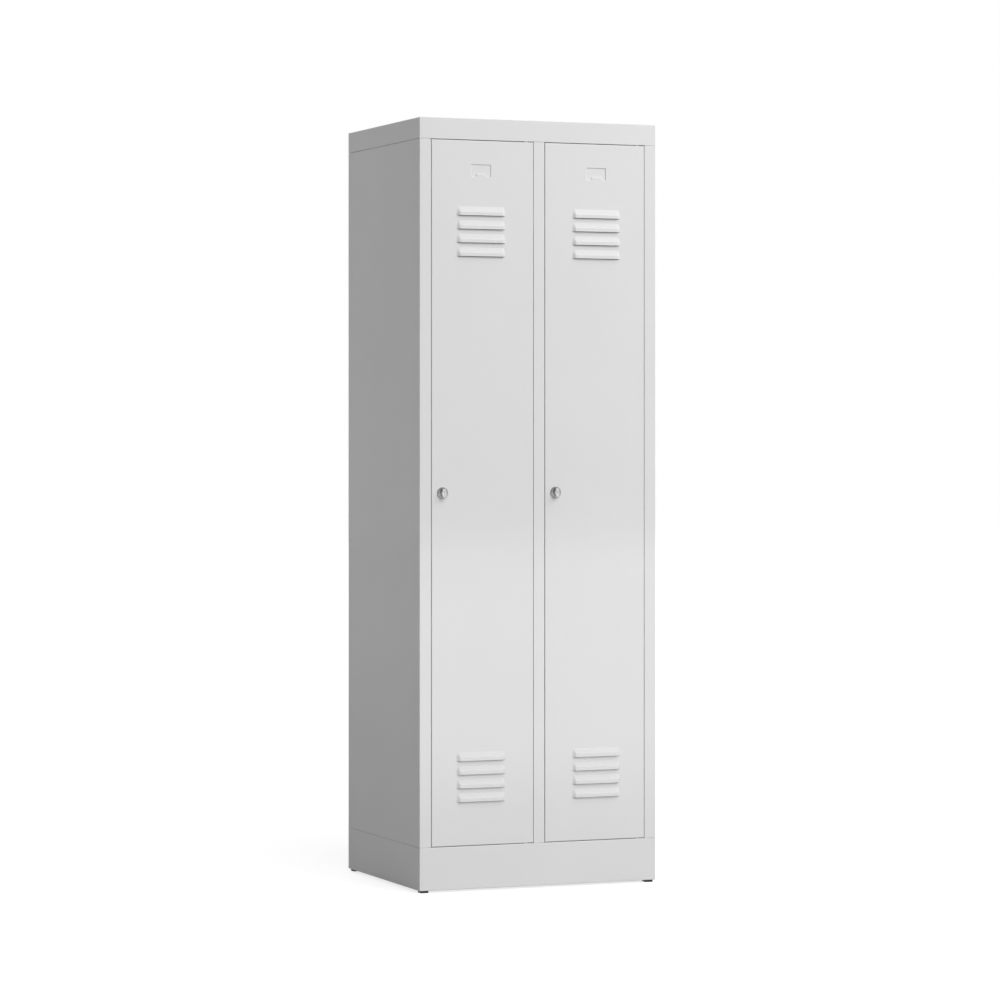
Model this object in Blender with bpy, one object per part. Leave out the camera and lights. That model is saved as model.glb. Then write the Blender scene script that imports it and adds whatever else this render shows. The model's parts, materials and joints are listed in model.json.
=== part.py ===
# Two-door steel school locker: a folded sheet carcass on a plinth, two louvred pan doors on hidden
# pivots, twist locks with cams, hat shelves, hanging rails and sliding hooks.
# Metres, +Z up, front towards -Y, origin on the floor under the middle of the whole box.

from math import asin, copysign, cos, pi, sin

import bmesh
import bpy
from mathutils import Matrix, Vector

for item in list(bpy.data.objects):
    bpy.data.objects.remove(item, do_unlink=True)

# Carcass
WIDTH = 0.600
DEPTH = 0.490
HEIGHT = 1.800
SHEET = 0.0008
INNER_BEND = 0.0007
CLEAR = 0.0003

# Feet, plinth and cap
FOOT_SIZE = 0.020
FOOT_HEIGHT = 0.005
FOOT_INSET = 0.0045
FOOT_MARGIN = 0.0005
FOOT_CHAMFER = 0.001
PEG_RADIUS = 0.004
PEG_LENGTH = 0.008
PLINTH_HEIGHT = 0.100
CAP_HEIGHT = 0.0495
CAP_SEAM = 0.0006

# Front frame and folded edges
STILE_WIDTH = 0.0288
POST_WIDTH = 0.0277
RETURN_LIP = 0.011
RETURN_PAST_LIP = 0.002
REAR_FLANGE = 0.015
END_FLANGE_GAP = 0.0018
END_RELIEF = 0.006

# Doors
DOOR_DEPTH = 0.018
DOOR_LIP = 0.012
PIVOT_INSET = 0.016
PIVOT_ROOM = 0.0005
STIFFENER_CROWN = 0.034
STIFFENER_FLANGE = 0.014
STIFFENER_DEPTH = 0.010
STIFFENER_END_GAP = 0.034

# Label recess, from the door's top edge down, with a tab between two bays
LABEL_DROP = 0.0552
LABEL_BAY_HEIGHT = 0.023
LABEL_LEFT_BAY = 0.01525
LABEL_RIGHT_BAY = 0.01225
LABEL_DEPTH = 0.002
LABEL_DRAFT = 0.0006
TAB_WIDTH = 0.024
TAB_HEIGHT = 0.007

# Pressed louvres, in one group below the label and one above the door's bottom edge
LOUVRE_COUNT = 4
LOUVRE_LENGTH = 0.1205
LOUVRE_HEIGHT = 0.022
LOUVRE_LAND = 0.00975
LOUVRE_DEPTH = 0.007
LOUVRE_NOSE = 0.0025
LABEL_TO_LOUVRE = 0.0675
LOWER_LOUVRE_RISE = 0.1021
LEFT_PRESS_SHIFT = -0.005
RIGHT_PRESS_SHIFT = 0.0025

# Pivots and door buffers
PIN_RADIUS = 0.002
PIN_REACH = 0.0045
PIN_HEAD_LEDGE = 0.0012
PIN_HEAD = 0.002
BUSH_WALL = 0.0009
BUSH_LENGTH = 0.004
BUSH_COLLAR = 0.0007
COLLAR_LEDGE = 0.001
BUFFER_RADIUS = 0.004
BUFFER_MARGIN = 0.00135
BUFFER_THICKNESS = 0.002
BUFFER_END_GAP = 0.160

# Twist locks
LOCK_LIP_GAP = 0.0055
SPINDLE_RADIUS = 0.006
BARREL_WALL = 0.0027
ROSE_LEDGE = 0.0042
ROSE_THICKNESS = 0.003
ROSE_EDGE = 0.0012
NUT_WALL = 0.0027
NUT_THICKNESS = 0.004
NUT_SIDES = 6
KNOB_STEP = 0.002
KNOB_DISC = 0.0016
GRIP_LENGTH = 0.0215
GRIP_WIDTH = 0.007
GRIP_HEIGHT = 0.0085
GRIP_EDGE = 0.001
PLUG_RADIUS = 0.0034
PLUG_WALL = 0.0023
PLUG_DEPTH = 0.006
KEYWAY_WIDTH = 0.0011
KEYWAY_LENGTH = 0.0048
KEYWAY_DEPTH = 0.004
CAM_BITE = 0.0072
CAM_WIDTH = 0.014
CAM_THICKNESS = 0.0025
CAM_RUN = 0.0006
SCREW_RADIUS = 0.0022
SCREW_REACH = 0.006
SCREW_HEAD = 0.0024
SCREW_HEAD_LEDGE = 0.0023
SCREW_CROWN = 0.0018

# Shelves, rails and hooks
SHELF_DROP = 0.300
SHELF_SETBACK = 0.018
SHELF_FOLD = 0.020
SHELF_HEM = 0.010
RAIL_DROP = 0.060
RAIL_RADIUS = 0.009
RAIL_WALL = 0.0012
SOCKET_WALL = 0.0025
SOCKET_DEPTH = 0.010
SOCKET_FLANGE = 0.002
SOCKET_LEDGE = 0.0052
HOOK_SPREAD = 0.060
HOOK_THICKNESS = 0.010
HOOK_RING_WALL = 0.0035
HOOK_ARM = 0.007
HOOK_STEM = 0.016
HOOK_BEND = 0.012
HOOK_TIP = 0.010
HOOK_EDGE = 0.0012

# Facets, and the reach of cutters past the sheet they cut
ROUND_STEPS = 22
SMALL_STEPS = 16
ARC_STEPS = 4
BEND_STEPS = 3
LOUVRE_STEPS = 4
CUT_MARGIN = 0.0012
MERGE_DISTANCE = 0.000001

# Widths that follow from what they carry or clear
bend = SHEET + INNER_BEND
tray_lip = FOOT_INSET + FOOT_SIZE + FOOT_MARGIN
end_flange = STILE_WIDTH - RETURN_LIP - END_FLANGE_GAP
door_gap = BUSH_COLLAR + 2 * CLEAR
stop_lip = door_gap + 2 * (BUFFER_MARGIN + BUFFER_RADIUS)
bush_bore = PIN_RADIUS + CLEAR
bush_radius = bush_bore + BUSH_WALL
pivot_setback = bend + CLEAR + bush_radius + PIVOT_ROOM
label_width = LABEL_LEFT_BAY + TAB_WIDTH + LABEL_RIGHT_BAY
label_height = LABEL_BAY_HEIGHT + TAB_HEIGHT
louvre_pitch = LOUVRE_HEIGHT + LOUVRE_LAND
louvre_corner = LOUVRE_DEPTH + LOUVRE_NOSE
upper_louvre_drop = LABEL_DROP + label_height + LABEL_TO_LOUVRE + LOUVRE_HEIGHT
barrel_bore = SPINDLE_RADIUS + CLEAR
barrel_radius = barrel_bore + BARREL_WALL
rose_radius = barrel_radius + ROSE_LEDGE
lock_inset = DOOR_LIP + LOCK_LIP_GAP + barrel_radius
cam_reach = lock_inset + door_gap - stop_lip + CAM_BITE
rail_bore = RAIL_RADIUS + CLEAR

# Levels from the floor
plinth_bottom = FOOT_HEIGHT + CLEAR
plinth_top = plinth_bottom + PLINTH_HEIGHT
panel_bottom = plinth_top + CLEAR
cap_bottom = HEIGHT - CAP_HEIGHT
panel_top = cap_bottom - CAP_SEAM
door_bottom = plinth_top + door_gap
door_top = cap_bottom - door_gap
door_height = door_top - door_bottom
door_middle = (door_top + door_bottom) / 2
shelf_top = cap_bottom - SHELF_DROP
rail_height = shelf_top - SHELF_FOLD - RAIL_DROP

# Depths behind the door face, and heights of the lock in front of it
stop_depth = DOOR_DEPTH + 2 * CLEAR + BUFFER_THICKNESS
return_depth = tray_lip + RETURN_PAST_LIP
cam_depth = stop_depth + SHEET + CAM_RUN
rose_front = CLEAR + ROSE_THICKNESS
knob_back = rose_front + CLEAR
knob_front = knob_back + KNOB_DISC
grip_front = knob_front + GRIP_HEIGHT

# World positions of the carcass faces
left_x = -WIDTH / 2
right_x = WIDTH / 2
inside_left = left_x + SHEET
inside_right = right_x - SHEET
stile_x = left_x + STILE_WIDTH
post_left = -POST_WIDTH / 2
post_right = POST_WIDTH / 2
front_y = (grip_front - DEPTH) / 2
back_y = front_y + DEPTH
middle_y = (front_y + back_y) / 2
stop_y = front_y + stop_depth
return_y = front_y + return_depth
back_panel_y = back_y - SHEET - CLEAR
door_width = (WIDTH - 2 * STILE_WIDTH - POST_WIDTH) / 2 - 2 * door_gap

bend_angles = [pi / 2 * step / BEND_STEPS for step in range(BEND_STEPS + 1)]


def finish(name, colour, roughness, metallic):
    material = bpy.data.materials.new(name)
    material.use_nodes = True
    shader = material.node_tree.nodes["Principled BSDF"]
    shader.inputs["Base Color"].default_value = (*colour, 1)
    shader.inputs["Roughness"].default_value = roughness
    shader.inputs["Metallic"].default_value = metallic
    return material


outer_paint = finish("outer_paint", (0.70, 0.70, 0.70), 0.38, 0.0)
inner_paint = finish("inner_paint", (0.67, 0.67, 0.67), 0.45, 0.0)
lock_chrome = finish("lock_chrome", (0.72, 0.72, 0.73), 0.18, 1.0)
zinc_steel = finish("zinc_steel", (0.62, 0.63, 0.64), 0.35, 1.0)
black_plastic = finish("black_plastic", (0.02, 0.02, 0.02), 0.55, 0.0)
white_nylon = finish("white_nylon", (0.80, 0.80, 0.78), 0.50, 0.0)
grey_rubber = finish("grey_rubber", (0.12, 0.12, 0.12), 0.80, 0.0)


def add_object(name, bm, material):
    mesh = bpy.data.meshes.new(name)
    bm.to_mesh(mesh)
    bm.free()
    mesh.materials.append(material)
    piece = bpy.data.objects.new(name, mesh)
    bpy.context.scene.collection.objects.link(piece)
    return piece


def hang(piece, pivot, point):
    # The piece keeps its place and turns with the pivot, which stands at the point.
    piece.parent = pivot
    piece.matrix_parent_inverse = Matrix.Translation(-Vector(point))


def add_pivot(name, point):
    pivot = bpy.data.objects.new(name, None)
    pivot.location = point
    bpy.context.scene.collection.objects.link(pivot)
    return pivot


def thicken(piece, thickness, offset=-1):
    wall = piece.modifiers.new("wall", "SOLIDIFY")
    wall.thickness = thickness
    wall.offset = offset
    wall.use_even_offset = True
    wall.use_quality_normals = True


def soften(piece, width):
    edge = piece.modifiers.new("edge", "BEVEL")
    edge.width = width
    edge.segments = 1
    edge.limit_method = "ANGLE"
    edge.angle_limit = pi / 4


def combine(piece, other, operation):
    other.hide_render = True
    other.display_type = "WIRE"
    step = piece.modifiers.new(other.name, "BOOLEAN")
    step.operation = operation
    step.object = other


def arc(centre_x, centre_y, radius, start, end, steps=ARC_STEPS):
    angles = [start + (end - start) * step / steps for step in range(steps + 1)]
    return [(centre_x + radius * cos(a), centre_y + radius * sin(a)) for a in angles]


def circle(centre_x, radius, steps=ROUND_STEPS):
    return arc(centre_x, 0, radius, 0, 2 * pi, steps)[:-1]


def rectangle(half_x, half_y):
    return [(-half_x, -half_y), (half_x, -half_y), (half_x, half_y), (-half_x, half_y)]


def cylinder_line(radius, length):
    return [(0, 0), (radius, 0), (radius, length), (0, length)]


def add_loop(bm, points):
    verts = [bm.verts.new((x, y, 0)) for x, y in points]
    for first, second in zip(verts, verts[1:] + verts[:1]):
        bm.edges.new((first, second))
    return verts


def fill_loops(bm):
    filled = bmesh.ops.triangle_fill(bm, use_beauty=True, edges=bm.edges, normal=(0, 0, 1))
    return [item for item in filled["geom"] if isinstance(item, bmesh.types.BMFace)]


def face_along(bm, reference, direction):
    # All faces agree with the reference face, which looks along the direction.
    bmesh.ops.recalc_face_normals(bm, faces=bm.faces)
    reference.normal_update()
    if reference.normal.dot(Vector(direction)) < 0:
        bmesh.ops.reverse_faces(bm, faces=bm.faces)


def plate(name, outline, thickness, material, holes=()):
    # A flat piece cut from sheet or bar, its middle plane on local XY.
    bm = bmesh.new()
    for points in (outline, *holes):
        add_loop(bm, points)
    faces = fill_loops(bm)
    face_along(bm, faces[0], (0, 0, 1))
    piece = add_object(name, bm, material)
    thicken(piece, thickness, offset=0)
    return piece


def turned(name, profile, material, steps=ROUND_STEPS):
    # A profile of (radius, height) points turned about local Z: open from axis to axis, or a ring.
    bm = bmesh.new()
    verts = [bm.verts.new((radius, 0, height)) for radius, height in profile]
    pairs = list(zip(verts, verts[1:]))
    if profile[0][0] > 0:
        pairs.append((verts[-1], verts[0]))
    edges = [bm.edges.new(pair) for pair in pairs]
    bmesh.ops.spin(
        bm,
        geom=verts + edges,
        cent=(0, 0, 0),
        axis=(0, 0, 1),
        angle=2 * pi,
        steps=steps,
        use_merge=True,
    )
    bmesh.ops.remove_doubles(bm, verts=bm.verts, dist=MERGE_DISTANCE)
    bmesh.ops.recalc_face_normals(bm, faces=bm.faces)
    piece = add_object(name, bm, material)
    piece.data.shade_smooth()
    piece.data.set_sharp_from_angle(angle=pi / 6)
    return piece


def drill(piece, name, radius, point):
    # A vertical round hole through the sheet that has one face at the point.
    bm = bmesh.new()
    bmesh.ops.create_cone(
        bm,
        cap_ends=True,
        segments=SMALL_STEPS,
        radius1=radius,
        radius2=radius,
        depth=2 * (SHEET + CUT_MARGIN),
    )
    cutter = add_object(name, bm, piece.data.materials[0])
    cutter.location = point
    combine(piece, cutter, "DIFFERENCE")


def pan_sheet(width, height, depth, lip, holes=()):
    # A rectangular sheet facing local +Z whose four edges fold down by depth, then in by lip.
    bm = bmesh.new()
    corners = rectangle(width / 2 - bend, height / 2 - bend)
    ring = add_loop(bm, corners)
    loops = [add_loop(bm, hole) for hole in holes]
    flat = fill_loops(bm)
    stations = [(bend * sin(a), bend * (1 - cos(a))) for a in bend_angles[1:]]
    stations += [(bend * cos(a), depth - bend * (1 - sin(a))) for a in bend_angles]
    stations.append((bend - lip, depth))
    for out, down in stations:
        grown = [(x + out * copysign(1, x), y + out * copysign(1, y)) for x, y in corners]
        following = [bm.verts.new((x, y, -down)) for x, y in grown]
        for side in range(len(ring)):
            bm.faces.new((ring[side - 1], ring[side], following[side], following[side - 1]))
        ring = following
    return bm, loops, flat[0]


def folded_pan(name, width, height, depth, lip, material):
    bm, _, flat = pan_sheet(width, height, depth, lip)
    face_along(bm, flat, (0, 0, 1))
    piece = add_object(name, bm, material)
    thicken(piece, SHEET)
    return piece


def bent_path(points):
    # The outer line of a folded profile, with an arc at each bend.
    path = [Vector(points[0])]
    for before, corner, after in zip(points, points[1:], points[2:]):
        corner = Vector(corner)
        to_before = (Vector(before) - corner).normalized()
        to_after = (Vector(after) - corner).normalized()
        centre = corner + bend * (to_before + to_after)
        for a in bend_angles:
            path.append(centre - bend * (to_after * cos(a) + to_before * sin(a)))
    path.append(Vector(points[-1]))
    return path


def folded_strip(name, points, low, high, material, flanged_run=None):
    # A folded upright profile. Its sheet lies to the left of the line, seen along the line from above.
    # The straight run that starts at flanged_run also folds inwards at both ends.
    path = bent_path(points)
    bm = bmesh.new()
    bottom = [bm.verts.new((x, y, low)) for x, y in path]
    top = [bm.verts.new((x, y, high)) for x, y in path]
    for i in range(len(path) - 1):
        bm.faces.new((bottom[i], bottom[i + 1], top[i + 1], top[i]))
    if flanged_run is not None:
        first = flanged_run * len(bend_angles)
        along = (path[first + 1] - path[first]).normalized()
        inward = Vector((-along.y, along.x)) * end_flange
        start = path[first] + inward + along * END_RELIEF
        end = path[first + 1] + inward - along * END_RELIEF
        for row, level, flip in ((bottom, low, True), (top, high, False)):
            inner_start = bm.verts.new((start.x, start.y, level))
            inner_end = bm.verts.new((end.x, end.y, level))
            corners = [row[first], row[first + 1], inner_end, inner_start]
            bm.faces.new(corners[::-1] if flip else corners)
    piece = add_object(name, bm, material)
    thicken(piece, SHEET)
    return piece


def louvre_path(inset):
    # Foot of a louvre hood, from its lower left end over the top to its lower right end.
    half = LOUVRE_LENGTH / 2 - inset
    top = LOUVRE_HEIGHT - inset
    corner = louvre_corner - inset
    left = arc(corner - half, top - corner, corner, pi, pi / 2, LOUVRE_STEPS)
    right = arc(half - corner, top - corner, corner, pi / 2, 0, LOUVRE_STEPS)
    return [(-half, 0), *left, *right, (half, 0)]


def louvre_places(shift):
    # Lip centres of both groups, in the door's own plane with its middle at the origin.
    places = []
    for row in range(LOUVRE_COUNT):
        places.append((shift, door_height / 2 - upper_louvre_drop - row * louvre_pitch))
        places.append((shift, LOWER_LOUVRE_RISE - door_height / 2 + row * louvre_pitch))
    return places


def louvre_loop(place):
    # The hood's foot, and the lanced line below its lip, which ends inside the hood's end walls.
    half = LOUVRE_LENGTH / 2 - 2 * SHEET
    outline = [*louvre_path(0), (half, -CLEAR), (-half, -CLEAR)]
    return [(place[0] + x, place[1] + y) for x, y in outline]


def raise_hood(bm, loop, place):
    # A quarter-round shoulder up to a flat front, open along its lower lip.
    ring = loop[: len(louvre_path(0))]
    for step in range(1, LOUVRE_STEPS + 1):
        a = pi / 2 * step / LOUVRE_STEPS
        path = louvre_path(LOUVRE_DEPTH * (1 - cos(a)))
        height = LOUVRE_DEPTH * sin(a)
        following = [bm.verts.new((place[0] + x, place[1] + y, height)) for x, y in path]
        for i in range(len(ring) - 1):
            bm.faces.new((ring[i], ring[i + 1], following[i + 1], following[i]))
        ring = following
    bm.faces.new(ring)


def label_loop(shift):
    # Recess for a name card, with a tab left standing on its lower edge to hold the card.
    left = shift - label_width / 2
    right = shift + label_width / 2
    top = door_height / 2 - LABEL_DROP
    bottom = top - label_height
    tab_left = left + LABEL_LEFT_BAY
    tab_right = right - LABEL_RIGHT_BAY
    tab_top = bottom + TAB_HEIGHT
    return [
        (left, bottom),
        (tab_left, bottom),
        (tab_left, tab_top),
        (tab_right, tab_top),
        (tab_right, bottom),
        (right, bottom),
        (right, top),
        (left, top),
    ]


def sink_label(bm, loop):
    floor = bm.faces.new(loop)
    floor.normal_update()
    if floor.normal.z < 0:
        floor.normal_flip()
    bmesh.ops.inset_region(
        bm, faces=[floor], thickness=LABEL_DRAFT, depth=-LABEL_DEPTH, use_even_offset=True
    )


def door_panel(name, shift):
    places = louvre_places(shift)
    lock_hole = circle(lock_inset - door_width / 2, barrel_radius + CLEAR)
    holes = [label_loop(shift), lock_hole, *[louvre_loop(place) for place in places]]
    bm, loops, flat = pan_sheet(door_width, door_height, DOOR_DEPTH, DOOR_LIP, holes)
    label, _, *louvres = loops
    sink_label(bm, label)
    for loop, place in zip(louvres, places):
        raise_hood(bm, loop, place)
    face_along(bm, flat, (0, 0, 1))
    panel = add_object(name, bm, outer_paint)
    thicken(panel, SHEET)
    panel.rotation_euler = (pi / 2, 0, 0)
    return panel


def stiffener(side, centre_x):
    # A top-hat channel behind the door skin, between the two louvre groups.
    face_y = front_y + SHEET + CLEAR
    rear_y = face_y + STIFFENER_DEPTH
    half = STIFFENER_CROWN / 2
    outer = half + STIFFENER_FLANGE
    line = [
        (centre_x - outer, face_y),
        (centre_x - half, face_y),
        (centre_x - half, rear_y),
        (centre_x + half, rear_y),
        (centre_x + half, face_y),
        (centre_x + outer, face_y),
    ]
    group = (LOUVRE_COUNT - 1) * louvre_pitch
    low = door_bottom + LOWER_LOUVRE_RISE + group + LOUVRE_HEIGHT + STIFFENER_END_GAP
    high = door_top - upper_louvre_drop - group - STIFFENER_END_GAP
    return folded_strip(f"{side}_door_stiffener", line, low, high, inner_paint)


def pivot_set(side, panel, x, y):
    # Pins headed inside the pan, turning in collared bushes that fill the gap to the frame.
    head_radius = PIN_RADIUS + PIN_HEAD_LEDGE
    collar_radius = bush_radius + COLLAR_LEDGE
    head = -SHEET - CLEAR
    tip = door_gap + PIN_REACH
    bush_end = door_gap + BUSH_LENGTH
    pin_line = [
        (0, head - PIN_HEAD),
        (head_radius, head - PIN_HEAD),
        (head_radius, head),
        (PIN_RADIUS, head),
        (PIN_RADIUS, tip),
        (0, tip),
    ]
    bush_line = [
        (bush_bore, CLEAR),
        (collar_radius, CLEAR),
        (collar_radius, CLEAR + BUSH_COLLAR),
        (bush_radius, CLEAR + BUSH_COLLAR),
        (bush_radius, bush_end),
        (bush_bore, bush_end),
    ]
    pins = []
    for end, edge_z, frame_z, frame_piece, turn in (
        ("lower", door_bottom, plinth_top, plinth, pi),
        ("upper", door_top, cap_bottom, cap, 0),
    ):
        pin = turned(f"{side}_door_{end}_pin", pin_line, zinc_steel, SMALL_STEPS)
        bush = turned(f"{side}_door_{end}_bush", bush_line, white_nylon, SMALL_STEPS)
        for piece in (pin, bush):
            piece.location = (x, y, edge_z)
            piece.rotation_euler = (turn, 0, 0)
        drill(frame_piece, f"{side}_{end}_bush_hole", bush_radius + CLEAR, (x, y, frame_z))
        drill(panel, f"{side}_{end}_pin_hole", bush_bore, (x, y, edge_z))
        pins.append(pin)
    return pins


def buffers(side, edge_x):
    # Two soft buttons on the stop lip, behind the door's locking edge.
    button = cylinder_line(BUFFER_RADIUS, BUFFER_THICKNESS)
    levels = {"lower": door_bottom + BUFFER_END_GAP, "upper": door_top - BUFFER_END_GAP}
    for end, z in levels.items():
        buffer = turned(f"{side}_door_{end}_buffer", button, grey_rubber, SMALL_STEPS)
        buffer.location = (edge_x + BUFFER_MARGIN + BUFFER_RADIUS, stop_y - CLEAR, z)
        buffer.rotation_euler = (pi / 2, 0, 0)


def lock_fixed(side, centre):
    # Rose and barrel through the door skin, drawn up by a nut behind it.
    barrel_end = CLEAR - cam_depth
    body = [
        (barrel_bore, barrel_end),
        (barrel_radius, barrel_end),
        (barrel_radius, CLEAR),
        (rose_radius, CLEAR),
        *arc(rose_radius - ROSE_EDGE, rose_front - ROSE_EDGE, ROSE_EDGE, 0, pi / 2),
        (barrel_bore, rose_front),
    ]
    housing = turned(f"{side}_lock_housing", body, lock_chrome)
    housing.location = centre
    nut_bore = barrel_radius + CLEAR
    nut_corner = (nut_bore + NUT_WALL) / cos(pi / NUT_SIDES)
    nut = plate(
        f"{side}_lock_nut",
        circle(0, nut_corner, NUT_SIDES),
        NUT_THICKNESS,
        zinc_steel,
        [circle(0, nut_bore)],
    )
    nut.location = centre + Vector((0, SHEET + CLEAR + NUT_THICKNESS / 2, 0))
    for piece in (housing, nut):
        piece.rotation_euler = (pi / 2, 0, 0)
    return [housing, nut]


def grip_outline():
    # Bar of the knob, swollen in the middle round the key plug.
    half = GRIP_LENGTH / 2
    swell = PLUG_RADIUS + CLEAR + PLUG_WALL - GRIP_WIDTH / 2
    side = []
    for step in range(2 * ARC_STEPS + 1):
        height = half * (step / ARC_STEPS - 1)
        side.append((GRIP_WIDTH / 2 + swell * cos(pi / 2 * height / half) ** 2, height))
    return side + [(-x, y) for x, y in reversed(side)]


def knob_pieces(side, centre):
    # Knob, spindle and grip in one casting, with a pocket for the key plug and a threaded end.
    thread = SCREW_RADIUS + CLEAR
    spindle_end = CLEAR - cam_depth
    thread_end = spindle_end + SCREW_REACH + CLEAR
    knob_radius = rose_radius - KNOB_STEP
    body = [
        (0, thread_end),
        (thread, thread_end),
        (thread, spindle_end),
        (SPINDLE_RADIUS, spindle_end),
        (SPINDLE_RADIUS, knob_back),
        (knob_radius, knob_back),
        (knob_radius, knob_front),
        (0, knob_front),
    ]
    knob = turned(f"{side}_lock_knob", body, lock_chrome)
    knob.location = centre
    grip_depth = GRIP_HEIGHT + (GRIP_EDGE + KNOB_DISC) / 2
    grip = plate(f"{side}_knob_grip", grip_outline(), grip_depth, lock_chrome)
    soften(grip, GRIP_EDGE)
    grip.location = centre - Vector((0, grip_front - grip_depth / 2, 0))
    combine(knob, grip, "UNION")

    plug_back = grip_front - PLUG_DEPTH
    pocket_line = cylinder_line(PLUG_RADIUS + CLEAR, PLUG_DEPTH + CLEAR + CUT_MARGIN)
    pocket = turned(f"{side}_plug_pocket", pocket_line, lock_chrome)
    pocket.location = centre - Vector((0, plug_back - CLEAR, 0))
    combine(knob, pocket, "DIFFERENCE")
    plug = turned(f"{side}_key_plug", cylinder_line(PLUG_RADIUS, PLUG_DEPTH), zinc_steel)
    plug.location = centre - Vector((0, plug_back, 0))
    slot_line = rectangle(KEYWAY_WIDTH / 2, KEYWAY_LENGTH / 2)
    keyway = plate(f"{side}_keyway", slot_line, 2 * KEYWAY_DEPTH, zinc_steel)
    keyway.location = centre - Vector((0, grip_front, 0))
    combine(plug, keyway, "DIFFERENCE")
    return [knob, grip, pocket, plug, keyway]


def cam_pieces(side, centre):
    # Cam hanging down at rest, screwed to the spindle's end.
    half = CAM_WIDTH / 2
    cam_line = [*arc(0, 0, half, 0, pi, 2 * ARC_STEPS), (-half, -cam_reach), (half, -cam_reach)]
    hole = circle(0, SCREW_RADIUS + CLEAR)
    cam = plate(f"{side}_lock_cam", cam_line, CAM_THICKNESS, zinc_steel, [hole])
    cam.location = centre + Vector((0, cam_depth + CAM_THICKNESS / 2, 0))
    head_radius = SCREW_RADIUS + SCREW_HEAD_LEDGE
    head_top = -CLEAR - SCREW_HEAD
    shank_end = CAM_THICKNESS + SCREW_REACH
    screw_line = [
        (0, head_top),
        (head_radius - SCREW_CROWN, head_top),
        (head_radius, head_top + SCREW_HEAD / 2),
        (head_radius, -CLEAR),
        (SCREW_RADIUS, -CLEAR),
        (SCREW_RADIUS, shank_end),
        (0, shank_end),
    ]
    screw = turned(f"{side}_cam_screw", screw_line, zinc_steel, SMALL_STEPS)
    screw.location = centre + Vector((0, cam_depth + CAM_THICKNESS, 0))
    return [cam, screw]


def door(side, edge_x, shift):
    # edge_x is the door's left edge, where the lock is. The pivots are near its right edge.
    centre_x = edge_x + door_width / 2
    pivot_point = Vector((edge_x + door_width - PIVOT_INSET, front_y + pivot_setback, 0))
    lock_centre = Vector((edge_x + lock_inset, front_y, door_middle))
    panel = door_panel(f"{side}_door_panel", shift)
    panel.location = (centre_x, front_y, door_middle)
    pins = pivot_set(side, panel, pivot_point.x, pivot_point.y)
    buffers(side, edge_x)
    swing = add_pivot(f"{side}_door_swing", pivot_point)
    for piece in (panel, stiffener(side, centre_x), *pins, *lock_fixed(side, lock_centre)):
        hang(piece, swing, pivot_point)
    lock_axis = add_pivot(f"{side}_lock_axis", lock_centre)
    hang(lock_axis, swing, pivot_point)
    for piece in knob_pieces(side, lock_centre) + cam_pieces(side, lock_centre):
        piece.rotation_euler = (pi / 2, 0, 0)
        hang(piece, lock_axis, lock_centre)


def foot(name, x, y):
    # A square pad with a peg through the plinth's lip.
    pad = plate(name, rectangle(FOOT_SIZE / 2, FOOT_SIZE / 2), FOOT_HEIGHT, black_plastic)
    soften(pad, FOOT_CHAMFER)
    peg_line = cylinder_line(PEG_RADIUS, PEG_LENGTH + FOOT_HEIGHT / 2)
    peg = turned(name + "_peg", peg_line, black_plastic, SMALL_STEPS)
    for piece in (pad, peg):
        piece.location = (x, y, FOOT_HEIGHT / 2)
    combine(pad, peg, "UNION")
    drill(plinth, name + "_hole", PEG_RADIUS + CLEAR, (x, y, plinth_bottom))


def back_panel():
    # A plain sheet inside the rear flanges of the sides.
    half_x = (inside_right - inside_left) / 2 - bend
    half_z = (panel_top - panel_bottom) / 2
    sheet = plate("back_panel", rectangle(half_x, half_z), SHEET, outer_paint)
    sheet.rotation_euler = (pi / 2, 0, 0)
    sheet.location = (0, back_panel_y - SHEET / 2, (panel_top + panel_bottom) / 2)


def partition():
    # Up to the roof, notched under the cap's rear lip, flanged to the post and to the back.
    front = return_y + CLEAR + SHEET
    rear = back_panel_y - SHEET - CLEAR
    notch = back_y - tray_lip - CLEAR
    roof = HEIGHT - SHEET - CLEAR
    outline = [
        (front, panel_bottom),
        (front, roof),
        (notch, roof),
        (notch, panel_top),
        (rear, panel_top),
        (rear, panel_bottom),
    ]
    bm = bmesh.new()
    verts = [bm.verts.new((-SHEET / 2, y, z)) for y, z in outline]
    web = bm.faces.new(verts)
    front_edge = bm.edges.get((verts[0], verts[1]))
    rear_edge = bm.edges.get((verts[4], verts[5]))
    for edge, reach in ((front_edge, -RETURN_LIP), (rear_edge, REAR_FLANGE)):
        folded = bmesh.ops.extrude_edge_only(bm, edges=[edge])["geom"]
        moved = [item for item in folded if isinstance(item, bmesh.types.BMVert)]
        bmesh.ops.translate(bm, verts=moved, vec=(reach, 0, 0))
    face_along(bm, web, (-1, 0, 0))
    thicken(add_object("centre_partition", bm, inner_paint), SHEET)


def hook_outline():
    # Ring round the rail, with a stem and an open bend below it.
    ring = rail_bore + HOOK_RING_WALL
    half = HOOK_ARM / 2
    low = -ring - HOOK_STEM
    spread = asin(half / ring)
    inner = arc(-HOOK_BEND, low, HOOK_BEND - half, 0, -pi, 2 * ARC_STEPS)
    tip = arc(-2 * HOOK_BEND, low + HOOK_TIP, half, 0, pi)
    outer = arc(-HOOK_BEND, low, HOOK_BEND + half, -pi, 0, 2 * ARC_STEPS)
    over = arc(0, 0, ring, spread - pi / 2, 3 * pi / 2 - spread, 3 * ARC_STEPS)
    return inner + tip + outer + over


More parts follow.
